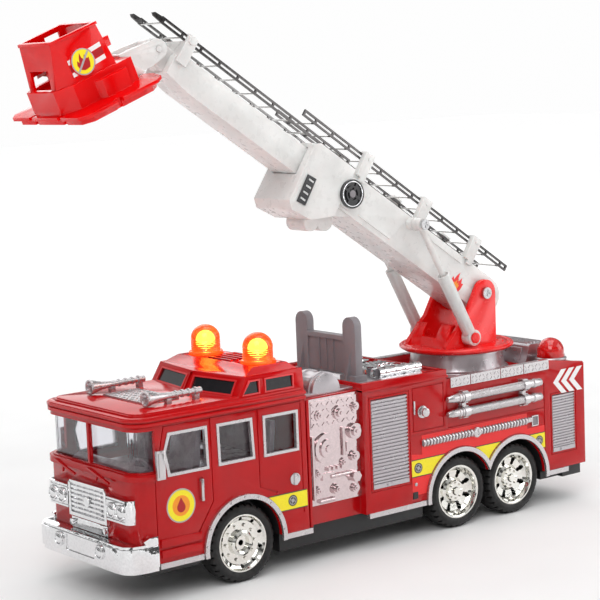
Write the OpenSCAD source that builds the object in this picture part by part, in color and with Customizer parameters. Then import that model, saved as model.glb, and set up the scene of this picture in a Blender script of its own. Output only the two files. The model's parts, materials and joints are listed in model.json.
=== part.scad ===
// Toy fire engine with a turntable boom, ladders and a rescue basket.
// Millimetres, Z up, X forward, Y to the truck's left; the ground is Z = 0.

/* [Truck] */
// distance of the front axle in front of the origin
front_axle_x = 84.97; // [80:0.01:92]
// full width of the cab and of the rear body
body_w = 85.2; // [82:0.2:88]
// height of the upper roof ledge of the cab
roof_z = 94; // [93:0.5:97]
// height of the rear body's flat top
rear_top_z = 80.3; // [78:0.1:80.5]
// thickness of the moulded walls
wall = 2.2; // [1.8:0.1:2.6]

/* [Wheels] */
// tyre outside radius
tyre_r = 20.2; // [19:0.1:20.4]
// tyre width
tyre_w = 14.5; // [12:0.5:15]
// rim outside radius
rim_r = 15.55; // [15:0.05:16]
// tread grooves round each tyre
tread_count = 30; // [20:2:40]

/* [Boom] */
// boom angle above the horizontal in the rest pose
boom_angle = 34; // [20:1:40]
// how far the inner boom sticks out beyond the collar in the rest pose
boom_out = 0; // [-20:1:0]
// how far the basket floor is pitched nose down in the rest pose
basket_pitch = 21; // [0:1:25]
// distance between ladder rungs
rung_pitch = 13.4; // [10:0.2:18]

/* [Body details] */
// slats in each large roller shutter
slats_large = 24; // [16:1:30]
// slats in each small roller shutter
slats_small = 19; // [12:1:24]
// height of the boom rest above the ground
cradle_top_z = 124; // [116:1:126]

/* [Hidden] */
$fn = 48;
hw = body_w / 2;
axles = [0, -149.7, -192.8];
axle_r = 1.5;
axle_bore_r = 1.55;
track_y = 41.2;
arch_r = 23.4;
arch_trim_r = 25.9;
sill_z = 20.5;
sill_drop = 2.8;
eps = 0.01;

cab_x0 = -41.5;
cab_x1 = 64;
cab_corner = 9.5;
cab_top_z = roof_z - 4.4;
lip_gap = 0.9;

body_x0 = -250.5;
rear_x1 = -140;
mid_x1 = -79.6;
pump_x1 = -42.7;
mid_hw = hw + 1;
mid_top_z = 91.3;
deck_z = 88;
pump_hw = hw - 3;

tt_x = -188.7;
tt_r = 33.3;
tt_z0 = 93.2;
tt_z1 = 96.4;
ring_r = 28;
hub_r = 20;
pivot_x = -196.5;
pivot_z = 125.5;
plate_y0 = 14.7;
plate_y1 = 17.7;
strut_y = 22.1;
strut_foot = [-180, 102];
strut_eye_u = 68.8;
strut_eye_v = 7.3;
boom_hw = 14;
boom_top = 10.8;
boom_bot = -10.5;
inner_hw = 10;
inner_top = 7.6;
inner_bot = -7.8;
slide_gap = 0.5;
tip_u = 257;
tip_v = 2.4;
rail1_y = 11.8;
rail1_v = 20.2;
rail2_y = 9.8;
rail2_v = 13.6;
rail_t = 1.1;
rail_h = 3.6;

red = [0.72, 0.05, 0.07];
bright_red = [0.95, 0.05, 0.05];
silver = [0.75, 0.75, 0.78];
chrome = [0.85, 0.85, 0.88];
black = [0.06, 0.06, 0.07];
white = [0.95, 0.95, 0.95];
grey = [0.5, 0.5, 0.52];

// ---------- helpers ----------

function arc_pts(cx, cy, r, a0, a1, n) =
    [for (i = [0:n]) [cx + r * cos(a0 + (a1 - a0) * i / n), cy + r * sin(a0 + (a1 - a0) * i / n)]];

// plan outline of the cab, grown by d
function cab_plan(d) = concat(
    [[cab_x0, -hw - d]],
    arc_pts(cab_x1 - cab_corner, -hw + cab_corner, cab_corner + d, -90, 0, 6),
    arc_pts(cab_x1 - cab_corner, hw - cab_corner, cab_corner + d, 0, 90, 6),
    [[cab_x0, hw + d]]);

module truck() {
    translate([front_axle_x, 0, 0]) children();
}

module both() {
    children();
    mirror([0, 1, 0]) children();
}

// box given by its two opposite corners
module block(a, b) {
    translate(a) cube(b - a);
}

// plan outline raised between two heights
module prism(pts, z0, z1) {
    translate([0, 0, z0]) linear_extrude(z1 - z0) polygon(pts);
}

// side outline (x, z) spread between two y values
module slab(pts, y0, y1) {
    translate([0, y1, 0]) rotate([90, 0, 0]) linear_extrude(y1 - y0) polygon(pts);
}

// front outline (y, z) spread between two x values
module plate(pts, x0, x1) {
    translate([x0, 0, 0]) rotate([90, 0, 90]) linear_extrude(x1 - x0) polygon(pts);
}

module rod_x(x0, x1, y, z, r) {
    translate([x0, y, z]) rotate([0, 90, 0]) cylinder(h = x1 - x0, r = r);
}

module rod_y(x, y0, y1, z, r) {
    translate([x, y1, z]) rotate([90, 0, 0]) cylinder(h = y1 - y0, r = r);
}

module rod_z(x, y, z0, z1, r) {
    translate([x, y, z0]) cylinder(h = z1 - z0, r = r);
}

module boom_frame() {
    truck() translate([pivot_x, 0, pivot_z]) rotate([0, -boom_angle, 0]) children();
}

module slider_frame() {
    boom_frame() translate([boom_out, 0, 0]) children();
}

module basket_frame() {
    slider_frame() translate([tip_u, 0, tip_v]) rotate([0, boom_angle + basket_pitch, 0])
        children();
}

// ---------- chassis and drive ----------

chassis_z0 = 10;
floor_t = 2;
spine_hw = 22.5;
tub_hw = 37;
spine_z0 = 12.5;
spine_z1 = 32;
bay_x0 = -112;
bay_x1 = -58;
bay_hw = 25;
bay_wall = 1.6;
bay_top_z = 26.4;
well_y0 = 24.6;
well_t = 1.2;
screw_spots = [[-35, 31], [-35, -31], [-118, 31], [-118, -31], [-226, 31], [-226, -31],
    [33, 31], [33, -31]];

// open trays and the spine that carries the axles
module trays() {
    difference() {
        union() {
            block([-125.5, -tub_hw, chassis_z0], [-25.5, tub_hw, sill_z]);
            block([-220, -spine_hw, spine_z0], [26, spine_hw, spine_z1]);
            block([25, -tub_hw, 14], [58, tub_hw, sill_z]);
            block([-247.5, -tub_hw, 14.5], [-218, tub_hw, sill_z]);
            both() block([-248.2, 26, 14.2], [-233, 40.2, 26]);
        }
        block([-218, -spine_hw + 2, spine_z0 + floor_t], [24, spine_hw - 2, spine_z1 + 1]);
        block([-123.5, -tub_hw + 2, chassis_z0 + floor_t], [-27.5, tub_hw - 2, sill_z + 1]);
        block([27, -tub_hw + 2, 14 + floor_t], [56, tub_hw - 2, sill_z + 1]);
        block([-245.5, -24, 14.5 + floor_t], [-220, 24, sill_z + 1]);
    }
}

// linings of the wheel wells
module wheel_wells() {
    both() difference() {
        intersection() {
            union() for (x = axles) rod_y(x, well_y0, hw - wall - 0.1, tyre_r, arch_r + well_t);
            block([-230, 0, sill_z - 0.5], [40, 60, 60]);
        }
        for (x = axles) rod_y(x, well_y0 + well_t, hw, tyre_r, arch_r);
    }
}

// underside of the floor where a screw enters
function screw_z(p) = abs(p[0]) > 200 ? 14.5 : (p[0] > 0 ? 14 : chassis_z0);

module chassis() {
    color(black) truck() difference() {
        union() {
            trays();
            wheel_wells();
            block([bay_x0 - bay_wall, -bay_hw - bay_wall, chassis_z0 + floor_t],
                [bay_x1 + bay_wall, bay_hw + bay_wall, bay_top_z + bay_wall]);
            // shelf of the loudspeaker
            block([-210, -spine_hw + 1, spine_z1 - floor_t], [-190, spine_hw - 1, spine_z1]);
        }
        block([bay_x0, -bay_hw, chassis_z0 - 1], [bay_x1, bay_hw, bay_top_z]);
        block([39, -3.4, 12], [49, 3.4, 17]);
        for (x = axles) {
            rod_y(x, -spine_hw - 0.9, spine_hw + 0.9, tyre_r, axle_bore_r);
            both() rod_y(x, spine_hw + 0.5, hw, tyre_r, 3);
        }
        for (p = screw_spots) translate([p[0], p[1], screw_z(p)]) {
            translate([0, 0, -1]) cylinder(h = 2, r = 2.8);
            cylinder(h = 8, r = 1.3);
        }
    }
}

module screws() {
    color(silver) truck() for (p = screw_spots) {
        translate([p[0], p[1], screw_z(p) + 0.1]) difference() {
            union() {
                cylinder(h = 0.8, r = 2.6);
                cylinder(h = 5.8, r = 1.3);
            }
            translate([-2, -0.3, -0.1]) cube([4, 0.6, 0.6]);
            translate([-0.3, -2, -0.1]) cube([0.6, 4, 0.6]);
        }
    }
}

module battery_door() {
    color(black) truck() difference() {
        union() {
            block([bay_x0 + 0.2, -bay_hw + 0.2, chassis_z0 + 0.6], [bay_x1 - 0.2, bay_hw - 0.2, 11.6]);
            for (k = [0:5]) block([bay_x0 + 6 + 8 * k, -16, chassis_z0 + 0.1],
                [bay_x0 + 8 + 8 * k, 16, chassis_z0 + 0.7]);
        }
        block([bay_x1 - 6, -4, 9], [bay_x1 - 3, 4, 11]);
    }
}

module batteries() {
    color(silver) truck() for (k = [-1:1]) translate([bay_x0 + 1.5, 15.4 * k, 19]) rotate([0, 90, 0]) {
        cylinder(h = 49, r = 7.1);
        translate([0, 0, 49]) cylinder(h = 1.2, r = 2.7);
    }
}

module gearbox() {
    color(silver) truck() difference() {
        block([-166, -13, spine_z0 + floor_t], [-136, 13, 31]);
        rod_y(axles[1], -14, 14, tyre_r, axle_r + 0.5);
        block([-167, -4, 28.5], [-135, 4, 32]);
        for (y = [-9, 9]) translate([-141, y, 20]) cylinder(h = 12, r = 1.2);
    }
}

module motor() {
    color(silver) truck() {
        intersection() {
            rod_x(-135.6, -115, 0, 24, 9);
            block([-136, -10, 16.8], [-114, 10, 31.2]);
        }
        rod_x(-115, -113.8, 0, 24, 3.2);
    }
}

module circuit_board() {
    color([0.1, 0.35, 0.16]) truck() {
        block([-106, -30, 33], [-56, 30, 34.6]);
        block([-98, -10, 34.6], [-88, 2, 36.6]);
        block([-74, 8, 34.6], [-66, 14, 38.6]);
        translate([-80, -20, 34.6]) cylinder(h = 8, r = 3);
        translate([-70, -14, 34.6]) cylinder(h = 6, r = 2.2);
        both() for (x = [-103, -59]) translate([x, 26, 28]) cylinder(h = 5, r = 1.6);
    }
}

module speaker() {
    color(grey) truck() translate([-200, 0, 34]) {
        difference() {
            cylinder(h = 4, r = 14);
            translate([0, 0, 2]) cylinder(h = 3, r = 12.6);
        }
        translate([0, 0, 2]) cylinder(h = 1.4, r1 = 11, r2 = 5);
        translate([0, 0, -2]) cylinder(h = 2, r = 8);
    }
}

module power_switch() {
    color(black) truck() {
        block([41.5, -2.4, 13.2], [46.5, 2.4, 16.3]);
        block([40.4, -2.9, 16.3], [47.6, 2.9, 18.3]);
    }
}

// ---------- wheels ----------

module shaft(k) {
    color(silver) truck() rod_y(axles[k], -track_y + 3, track_y - 3, tyre_r, axle_r);
}

module axle_front() {
    shaft(0);
}

module axle_mid() {
    shaft(1);
}

module axle_rear() {
    shaft(2);
}

groove_d = 1.2;

module tyres(k) {
    bead_r = rim_r - 0.6;
    shoulder = 2.4;
    color(black) truck() both() translate([axles[k], track_y, tyre_r]) rotate([90, 0, 0]) difference() {
        rotate_extrude() polygon([[bead_r, 0.8], [rim_r + 1.2, 0], [tyre_r - shoulder, 0],
            [tyre_r - 0.5, 1.2], [tyre_r, 2.6], [tyre_r, tyre_w - 2.6],
            [tyre_r - 0.5, tyre_w - 1.2], [tyre_r - shoulder, tyre_w],
            [bead_r, tyre_w]]);
        for (i = [0:tread_count - 1]) rotate([0, 0, 360 * i / tread_count]) {
            translate([tyre_r - groove_d, -0.6, -1]) cube([groove_d + 1, 1.2, 5.4]);
            rotate([0, 0, 180 / tread_count])
                translate([tyre_r - groove_d, -0.6, tyre_w - 4.4]) cube([groove_d + 1, 1.2, 5.4]);
        }
    }
}

module tyres_front() {
    tyres(0);
}

module tyres_mid() {
    tyres(1);
}

module tyres_rear() {
    tyres(2);
}

module rims_front() {
    seat_r = rim_r - 0.6;
    color(chrome) truck() both() translate([axles[0], track_y, tyre_r]) rotate([90, 0, 0]) difference() {
        union() {
            rotate_extrude() polygon([[0, 3], [4.2, 3], [4.2, 1.4], [5.4, 0.6], [6.6, 1.4], [6.6, 3.4],
                [11.4, 3.4], [12, 2.8], [13.4, 2.2], [14.2, 1], [seat_r, 1], [seat_r, tyre_w],
                [seat_r - 1.4, tyre_w], [seat_r - 1.4, 5.4], [4.2, 5.4], [4.2, 12], [0, 12]]);
            for (i = [0:9]) rotate([0, 0, 36 * i]) translate([9, 0, 2.4])
                cylinder(h = 1.2, r = 1, $fn = 6);
        }
        for (i = [0:9]) rotate([0, 0, 36 * i + 18]) translate([12.4, 0, 0]) cylinder(h = 7, r = 1);
        translate([0, 0, 4]) cylinder(h = 9, r = axle_r);
    }
}

module rear_rim(k) {
    seat_r = rim_r - 0.6;
    color(chrome) truck() both() translate([axles[k], track_y, tyre_r]) rotate([90, 0, 0]) difference() {
        union() {
            rotate_extrude() polygon([[0, 4.4], [2, 4.4], [2.4, 3], [5.6, 3], [6.2, 4.6], [7.6, 5.6],
                [11.4, 5], [12.6, 3.4], [13.6, 1.2], [14.2, 0.8], [seat_r, 0.8], [seat_r, tyre_w],
                [seat_r - 1.2, tyre_w], [seat_r - 1.2, 7.4], [4.2, 7.4], [4.2, 12], [0, 12]]);
            for (i = [0:7]) rotate([0, 0, 45 * i]) translate([4.4, 0, 2.2])
                cylinder(h = 1.2, r = 0.7, $fn = 6);
            translate([0, 0, 1.6]) cylinder(h = 3, r = 2);
        }
        for (i = [0:7]) rotate([0, 0, 45 * i + 22.5]) {
            translate([8.6, 0, 1]) cylinder(h = 8, r = 1.2);
            translate([10.6, 0, 1]) cylinder(h = 8, r = 1.5);
        }
        translate([0, 0, 6]) cylinder(h = 7, r = axle_r);
    }
}

module rims_mid() {
    rear_rim(1);
}

module rims_rear() {
    rear_rim(2);
}

// ---------- cab ----------

// side window outlines (x, z)
front_window = [[20.6, 63], [45.4, 63], [47.6, 75.6], [44.6, 85], [21, 85]];
mid_window = [[-8, 63.2], [14.8, 63.2], [15.2, 84.8], [-7, 84.8]];
rear_window = [[-36.4, 63], [-13.7, 63], [-13.7, 84.5], [-36.4, 84.5]];
frame_t = 1.5;

// box-like outline shrunk toward its middle by the frame width
function inset(pts, cx, cz, d) = [for (p = pts)
    [p[0] + (p[0] > cx ? -d : d), p[1] + (abs(p[1] - cz) < 3 ? 0 : (p[1] > cz ? -d : d))]];

module side_windows(y0, y1) {
    slab(front_window, y0, y1);
    slab(mid_window, y0, y1);
    slab(rear_window, y0, y1);
}

seam_t = 0.55;
seam_d = 0.6;
shield_z0 = 66.8;
shield_z1 = 87.2;
shield_x = 52;

module door_seams() {
    y0 = hw - seam_d;
    y1 = hw + 1;
    block([18.5, y0, 45.6], [18.5 + seam_t, y1, 88.5]);
    slab([[18.5, 46], [19.2, 46], [29.6, 31], [29, 30.4]], y0, y1);
    block([-10.9, y0, 47.6], [-10.9 + seam_t, y1, 88.5]);
    slab([[-10.9, 48], [-10.2, 48], [-21.4, 43], [-22, 43.6]], y0, y1);
    block([-38.6, y0, 30], [-38.6 + seam_t, y1, 87.5]);
    slab([[46.4, 88.5], [47, 88.5], [49.4, 78], [48.8, 78]], y0, y1);
    slab([[48.8, 78], [49.4, 78], [53.2, 64], [52.6, 64]], y0, y1);
    block([52.6, y0, 33], [52.6 + seam_t, y1, 62.4]);
    block([-38.6, y0, 88.2], [47, y1, 88.2 + seam_t]);
}

module cab_shell() {
    color(red) truck() {
        difference() {
            union() {
                prism(cab_plan(0), sill_z, cab_top_z);
                difference() {
                    prism(cab_plan(1.6), 62.6, 66);
                    block([-60, -60, 60], [49.6, 60, 70]);
                }
                both() for (k = [0:1]) block([27.5, hw - 1, 23 + 5.4 * k], [51.5, hw + 1.2, 27 + 5.4 * k]);
            }
            prism(cab_plan(-wall), sill_z - 1, cab_top_z + 1);
            both() side_windows(hw - 5, hw + 5);
            difference() {
                block([shield_x, -60, shield_z0], [80, 60, shield_z1]);
                block([shield_x - 1, -0.9, shield_z0 - 1], [80, 0.9, shield_z1 + 1]);
            }
            both() {
                rod_y(axles[0], hw - 18, hw + 3, tyre_r, arch_r);
                door_seams();
                block([24.6, hw - 0.7, 47.4], [27, hw + 1, 59.4]);
            }
        }
        // inner ledge that carries the seats
        difference() {
            prism(cab_plan(-wall), 53, 54.6);
            prism(cab_plan(-wall - 3), 52, 56);
        }
        // parked wipers
        for (y = [-30, 2]) translate([65.6, y, 64.4]) rotate([-14, 0, 0]) {
            cube([1.2, 20, 0.9]);
            translate([0, 8, -2.6]) cube([1, 1.2, 2.8]);
        }
    }
}

module window_frames() {
    color(silver) truck() both() {
        y0 = hw - 1.6;
        y1 = hw + 0.5;
        difference() {
            slab(front_window, y0, y1);
            slab(inset(front_window, 33, 75.6, frame_t), y0 - 1, y1 + 1);
        }
        difference() {
            slab(mid_window, y0, y1);
            slab(inset(mid_window, 3, 75, frame_t), y0 - 1, y1 + 1);
        }
        difference() {
            slab(rear_window, y0, y1);
            slab(inset(rear_window, -25, 75, frame_t), y0 - 1, y1 + 1);
        }
    }
}

module glazing() {
    g0 = -wall - 0.1;
    g1 = -wall - 1;
    color([0.7, 0.8, 0.85, 0.4]) truck() difference() {
        prism(cab_plan(g0), 60.8, 88);
        prism(cab_plan(g1), 60, 89);
        block([-60, -60, 59], [-38.8, 60, 90]);
    }
}

module cab_interior() {
    seat_z = 60;
    color([0.55, 0.5, 0.55]) truck() {
        block([-37, -36, 54.7], [52, 36, 56.4]);
        // dashboard with an instrument hump
        slab([[44, 56.4], [56, 56.4], [56, 63.5], [50, 66.5], [44, 64]], -31, 31);
        both() {
            // front seats
            block([20, 6, 56.4], [34, 28, seat_z]);
            slab([[17, seat_z - 3.6], [21, seat_z - 3.6], [17.5, 80], [14.5, 80]], 6, 28);
            slab([[17.4, 78], [14.8, 78], [14, 84.5], [16.4, 84.5]], 11, 23);
        }
        // rear bench
        block([-26, -30, 56.4], [-12, 30, seat_z]);
        slab([[-29, 56.4], [-25.8, 56.4], [-28, 78], [-31, 78]], -30, 30);
        // steering wheel and column
        translate([42, 17, 63.2]) rotate([0, -62, 0]) {
            rotate_extrude() translate([5.4, 0]) circle(r = 0.8, $fn = 24);
            cylinder(h = 0.9, r = 1.6);
            translate([-5.2, -0.5, -0.2]) cube([10.4, 1, 0.8]);
            translate([0, 0, -8]) cylinder(h = 8, r = 0.9);
        }
    }
}

pod_x0 = -43.5;
pod_x1 = 6.4;
pod_hw = 40;
pod_z1 = 105;
pod_sweep = 9;
pod_lean = 7.6;
crown_z = 108.4;
light_x = -27;
light_y = 23.4;
light_base_r = 9.2;

// half space behind one half of the V-shaped windscreen, moved back by d
module pod_wedge(angle, d) {
    translate([pod_x1, 0, 0]) rotate([0, 0, angle]) slab([[-90, roof_z - 2], [-d, roof_z - 2],
        [-pod_lean - d, pod_z1 - d], [-90, pod_z1 - d]], -70, 70);
}

// solid of the raised roof pod, shrunk by d
module pod_solid(d) {
    intersection() {
        pod_wedge(pod_sweep, d);
        pod_wedge(-pod_sweep, d);
        plate([[-pod_hw + d, roof_z - 3], [pod_hw - d, roof_z - 3], [pod_hw - 1.2 - d, pod_z1],
            [-pod_hw + 1.2 + d, pod_z1]], pod_x0 + d, 20);
    }
}

// low crown that carries the lights
module pod_crown() {
    intersection() {
        slab([[pod_x0 + 1, pod_z1 - 1], [-7, pod_z1 - 1], [-15.6, crown_z], [pod_x0 + 6, crown_z]], -60, 60);
        plate([[-38, pod_z1 - 1], [38, pod_z1 - 1], [33.6, crown_z], [-33.6, crown_z]], -80, 80);
    }
}

module cab_roof() {
    color(red) truck() {
        difference() {
            union() {
                prism(cab_plan(1.3), cab_top_z, cab_top_z + 1.7);
                prism(cab_plan(0.4), cab_top_z + 1.7, cab_top_z + 1.7 + lip_gap);
                prism(cab_plan(1.6), cab_top_z + 1.7 + lip_gap, roof_z - 0.5);
                prism(cab_plan(0.9), roof_z - 0.5, roof_z);
                prism(cab_plan(-2.6), roof_z, roof_z + 0.9);
                prism(cab_plan(-3.6), roof_z + 0.9, roof_z + 1.5);
                pod_solid(0);
                pod_crown();
            }
            // hollow underside
            prism(cab_plan(-wall - 1.4), cab_top_z - 1, roof_z - 1);
            intersection() {
                pod_solid(wall);
                block([pod_x0 + wall, -pod_hw, roof_z - 3], [20, pod_hw, pod_z1 - wall]);
            }
            pod_windows();
            // seats of the roof lights
            both() translate([light_x, light_y, crown_z - 0.6]) cylinder(h = 2, r = light_base_r + 0.2);
            // groove between the two halves of the windscreen
            difference() {
                block([-12, -1, roof_z + 1.6], [12, 1, pod_z1 - 0.8]);
                pod_solid(1.2);
            }
        }
        // louvre ribs between the lights
        for (k = [0:4]) block([-36.4 + 4 * k, -10, crown_z], [-34.8 + 4 * k, 10, crown_z + 0.8]);
    }
}

// window cut-outs of the pod
module pod_windows() {
    z0 = roof_z + 2.2;
    z1 = pod_z1 - 2.8;
    both() {
        // half of the windscreen
        translate([pod_x1, 0, 0]) rotate([0, 0, pod_sweep]) block([-16, 4.6, z0], [6, 34.4, z1]);
        // side panes
        slab([[-14.6, z0], [-4.8, z0], [-9.2, z1], [-14.6, z1]], pod_hw - 6, pod_hw + 1);
        slab([[-36.4, z0], [-19.2, z0], [-19.2, z1], [-36.4, z1]], pod_hw - 6, pod_hw + 1);
    }
}

module pod_glazing() {
    color([0.1, 0.1, 0.13]) truck() intersection() {
        difference() {
            pod_solid(0.5);
            pod_solid(wall);
        }
        pod_windows();
    }
}

module roof_lights() {
    color([1, 0.35, 0.1]) truck() both() translate([light_x, light_y, crown_z - 0.6]) {
        cylinder(h = 2.2, r = light_base_r);
        translate([0, 0, 2.2]) cylinder(h = 6.4, r = 8);
        intersection() {
            translate([0, 0, 8.6]) sphere(r = 8);
            translate([-10, -10, 8.6]) cube([20, 20, 20]);
        }
    }
}

horn_z = 99.6;

module air_horns() {
    color(silver) truck() both() translate([0, 26, horn_z]) rotate([0, 90, 0]) {
        translate([0, 0, 12]) rotate_extrude() polygon([[0, 0], [1.8, 0], [1.8, 3], [2.2, 3], [2.2, 4],
            [1.5, 4], [1.5, 7], [2, 7], [2, 8], [1.5, 8], [1.5, 11], [2, 11], [2, 12], [1.5, 12],
            [1.5, 15], [2, 15], [2, 16], [1.6, 16], [1.7, 21], [2.3, 27], [3.4, 31], [4, 33], [4, 33.8],
            [3.2, 33.8], [2.2, 31], [0, 29]]);
    }
    color(silver) truck() both() for (x = [15, 32])
        block([x - 1.4, 24.6, roof_z + 1.5], [x + 1.4, 27.4, horn_z - 1.4]);
}

module roof_tread() {
    color(silver) truck() {
        block([20.5, -19, roof_z + 1.5], [42, 19, roof_z + 2.5]);
        for (i = [0:5]) for (j = [0:9])
            translate([22.6 + 3.5 * i, -17 + 3.7 * j, roof_z + 2.5]) rotate([0, 0, (i + j) % 2 * 90 + 45])
                translate([-1.1, -0.25, 0]) cube([2.2, 0.5, 0.3]);
    }
}

grille_z0 = 38;
grille_z1 = 56.4;
grille_hw = 17.8;

module grille() {
    color(chrome) truck() {
        difference() {
            plate([[-grille_hw, grille_z0], [grille_hw, grille_z0], [grille_hw, grille_z1 - 1.6],
                [grille_hw - 1.6, grille_z1], [-grille_hw + 1.6, grille_z1], [-grille_hw, grille_z1 - 1.6]],
                cab_x1, cab_x1 + 2.4);
            plate([[-grille_hw + 2, grille_z0 + 1.8], [grille_hw - 2, grille_z0 + 1.8],
                [grille_hw - 2, grille_z1 - 1.8], [-grille_hw + 2, grille_z1 - 1.8]],
                cab_x1 + 0.8, cab_x1 + 3);
        }
        for (k = [0:5]) block([cab_x1 + 0.8, -grille_hw + 2, grille_z0 + 2.8 + 2.3 * k],
            [cab_x1 + 2, grille_hw - 2, grille_z0 + 4 + 2.3 * k]);
        for (k = [-2:2]) block([cab_x1 + 0.8, 5.6 * k - 0.35, grille_z0 + 1.8],
            [cab_x1 + 1.4, 5.6 * k + 0.35, grille_z1 - 1.8]);
        // plain oval badge
        rod_x(cab_x1 + 0.8, cab_x1 + 2.9, 0, (grille_z0 + grille_z1) / 2, 2.6);
        // lower plate with two lugs
        block([cab_x1, -17, 31.8], [cab_x1 + 1.6, 17, grille_z0 - 0.8]);
        both() rod_x(cab_x1 + 1.6, cab_x1 + 3.2, 15.2, 34.6, 1.6);
    }
}

// round lamp facing forward: a bezel ring around a domed lens
module lamp(x, y, z, r) {
    translate([x, y, z]) rotate([0, 90, 0]) rotate_extrude() polygon(concat([[0, -0.8], [r, -0.8],
        [r, 1], [r - 0.3, 1.3], [r - 0.7, 1.3], [r - 0.9, 0.5]],
        [for (t = [0:15:90]) [(r - 1.1) * cos(t), 0.5 + 1.2 * sin(t)]]));
}

lamp_ys = [23.6, 32];
lamp_z = 47.2;

module headlights() {
    color(chrome) truck() both() difference() {
        union() {
            prism([[57, 18.4], [66.6, 18.4], [66.6, 35.6], [65.8, 37.4], [64.2, 38.4], [57, 38.4]],
                41.4, 53.4);
            for (y = lamp_ys) lamp(66.6, y, lamp_z, 3.9);
        }
        prism(cab_plan(0), 40, 54);
        block([66.1, 18, 42.4], [67, 35, 43]);
        block([66.1, 18, 51.8], [67, 35, 52.4]);
    }
}

bump_z0 = 17.6;
bump_z1 = 31.6;
bump_x1 = 72.1;

// bumper plan outline, shrunk by d
function bumper_half(d) = [[bump_x1 - d, 32], [bump_x1 - 0.7 - d, 38.4 - d * 0.4],
    [bump_x1 - 4 - d, 42.4 - d * 0.7], [60 - d * 0.3, 44.3 - d], [53.6, 44.3 - d]];
function bumper_plan(d) = concat([for (k = [4:-1:0]) [bumper_half(d)[k][0], -bumper_half(d)[k][1]]],
    bumper_half(d));

module bumper() {
    color(chrome) truck() difference() {
        union() {
            prism(bumper_plan(0.9), bump_z0, bump_z0 + 2.2);
            prism(bumper_plan(0), bump_z0 + 2.2, bump_z1 - 1.4);
            prism(bumper_plan(0.9), bump_z1 - 1.4, bump_z1);
            both() slab([[53.6, 31], [60, 31], [62, 33.4], [58, 35], [53.6, 35]], hw - 1, hw + 1.2);
            both() lamp(bump_x1, 19.3, 26.2, 3.8);
        }
        prism(cab_plan(0), bump_z0 - 1, 40);
        block([bump_x1 - 0.7, -13.4, 21.4], [bump_x1 + 2, 13.4, 29.6]);
    }
}

module side_fittings() {
    color(silver) truck() both() {
        // mirror with its arm
        block([48.6, hw + 1.8, 63], [53.4, hw + 3.4, 77.4]);
        block([49.6, hw + 3.4, 64.4], [52.4, hw + 3.9, 76]);
        for (z = [67.6, 74]) block([50.2, hw, z], [51.8, hw + 1.8, z + 1.4]);
        // grab rail of the front door
        rod_z(25.8, hw + 1.3, 47.8, 59, 0.8);
        for (z = [48.4, 57.6]) block([25.3, hw - 0.7, z], [26.3, hw + 1.3, z + 0.9]);
        // oval door handle
        slab(arc_pts(-33, 48.4, 3.2, 0, 360, 16), hw, hw + 0.7);
        block([-34, hw + 0.7, 45.4], [-32, hw + 1.3, 51.4]);
        // locker knob
        translate([-121.3, mid_hw, 70.4]) rotate([-90, 0, 0]) {
            cylinder(h = 0.8, r = 3.4);
            translate([0, 0, 0.8]) cylinder(h = 1.6, r = 1.4);
            translate([0, 0, 2.4]) cylinder(h = 1.4, r = 2.4);
        }
        block([-116.2, mid_hw, 69.6], [-115.2, mid_hw + 0.6, 77]);
    }
}

// ---------- body ----------

rail_z = 85.3;
rail_t_y = 3.4;
rail_x0 = -221;
panel_x0 = -79.4;
panel_x1 = -44.6;
locker_x0 = -137.6;
locker_x1 = -114.6;
large_x0 = -110.8;
large_x1 = -85.2;
small_x0 = -241.8;
small_x1 = -223.4;
slot_d = 1.6;

step_x = -113;
step_z = 58.4;

// outside of the hollow body, without openings
module body_solid() {
    block([panel_x0 - 0.4, -pump_hw + 0.6, sill_z], [pump_x1, pump_hw - 0.6, deck_z]);
    block([rear_x1 - 0.4, -hw, sill_z], [mid_x1, hw, step_z + 1]);
    block([step_x, -mid_hw, sill_z], [mid_x1, mid_hw, step_z + 1]);
    block([rear_x1 - 0.4, -mid_hw, step_z], [mid_x1, mid_hw, mid_top_z - 4.4]);
    block([rear_x1 - 1, -mid_hw - 0.8, mid_top_z - 4.4], [mid_x1 + 0.6, mid_hw + 0.8, mid_top_z - 3.2]);
    block([rear_x1 - 0.4, -mid_hw, mid_top_z - 3.2], [mid_x1, mid_hw, mid_top_z]);
    block([body_x0, -hw, sill_z], [rear_x1, hw, rear_top_z]);
    both() {
        block([rail_x0, hw - rail_t_y, rear_top_z - 1], [rear_x1, hw, rail_z]);
        slab([[body_x0 + 0.6, rear_top_z - 1], [rail_x0, rear_top_z - 1], [rail_x0, rail_z],
            [body_x0 + 0.6, rear_top_z + 0.8]], hw - 2, hw);
        // pillar between cab and pump panel
        block([panel_x1 + 0.3, hw - 4.6, sill_z], [pump_x1, hw - 0.2, deck_z]);
    }
    block([body_x0 - 1.1, -hw + 4, 22], [body_x0, hw - 4, 27.4]);
}

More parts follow.
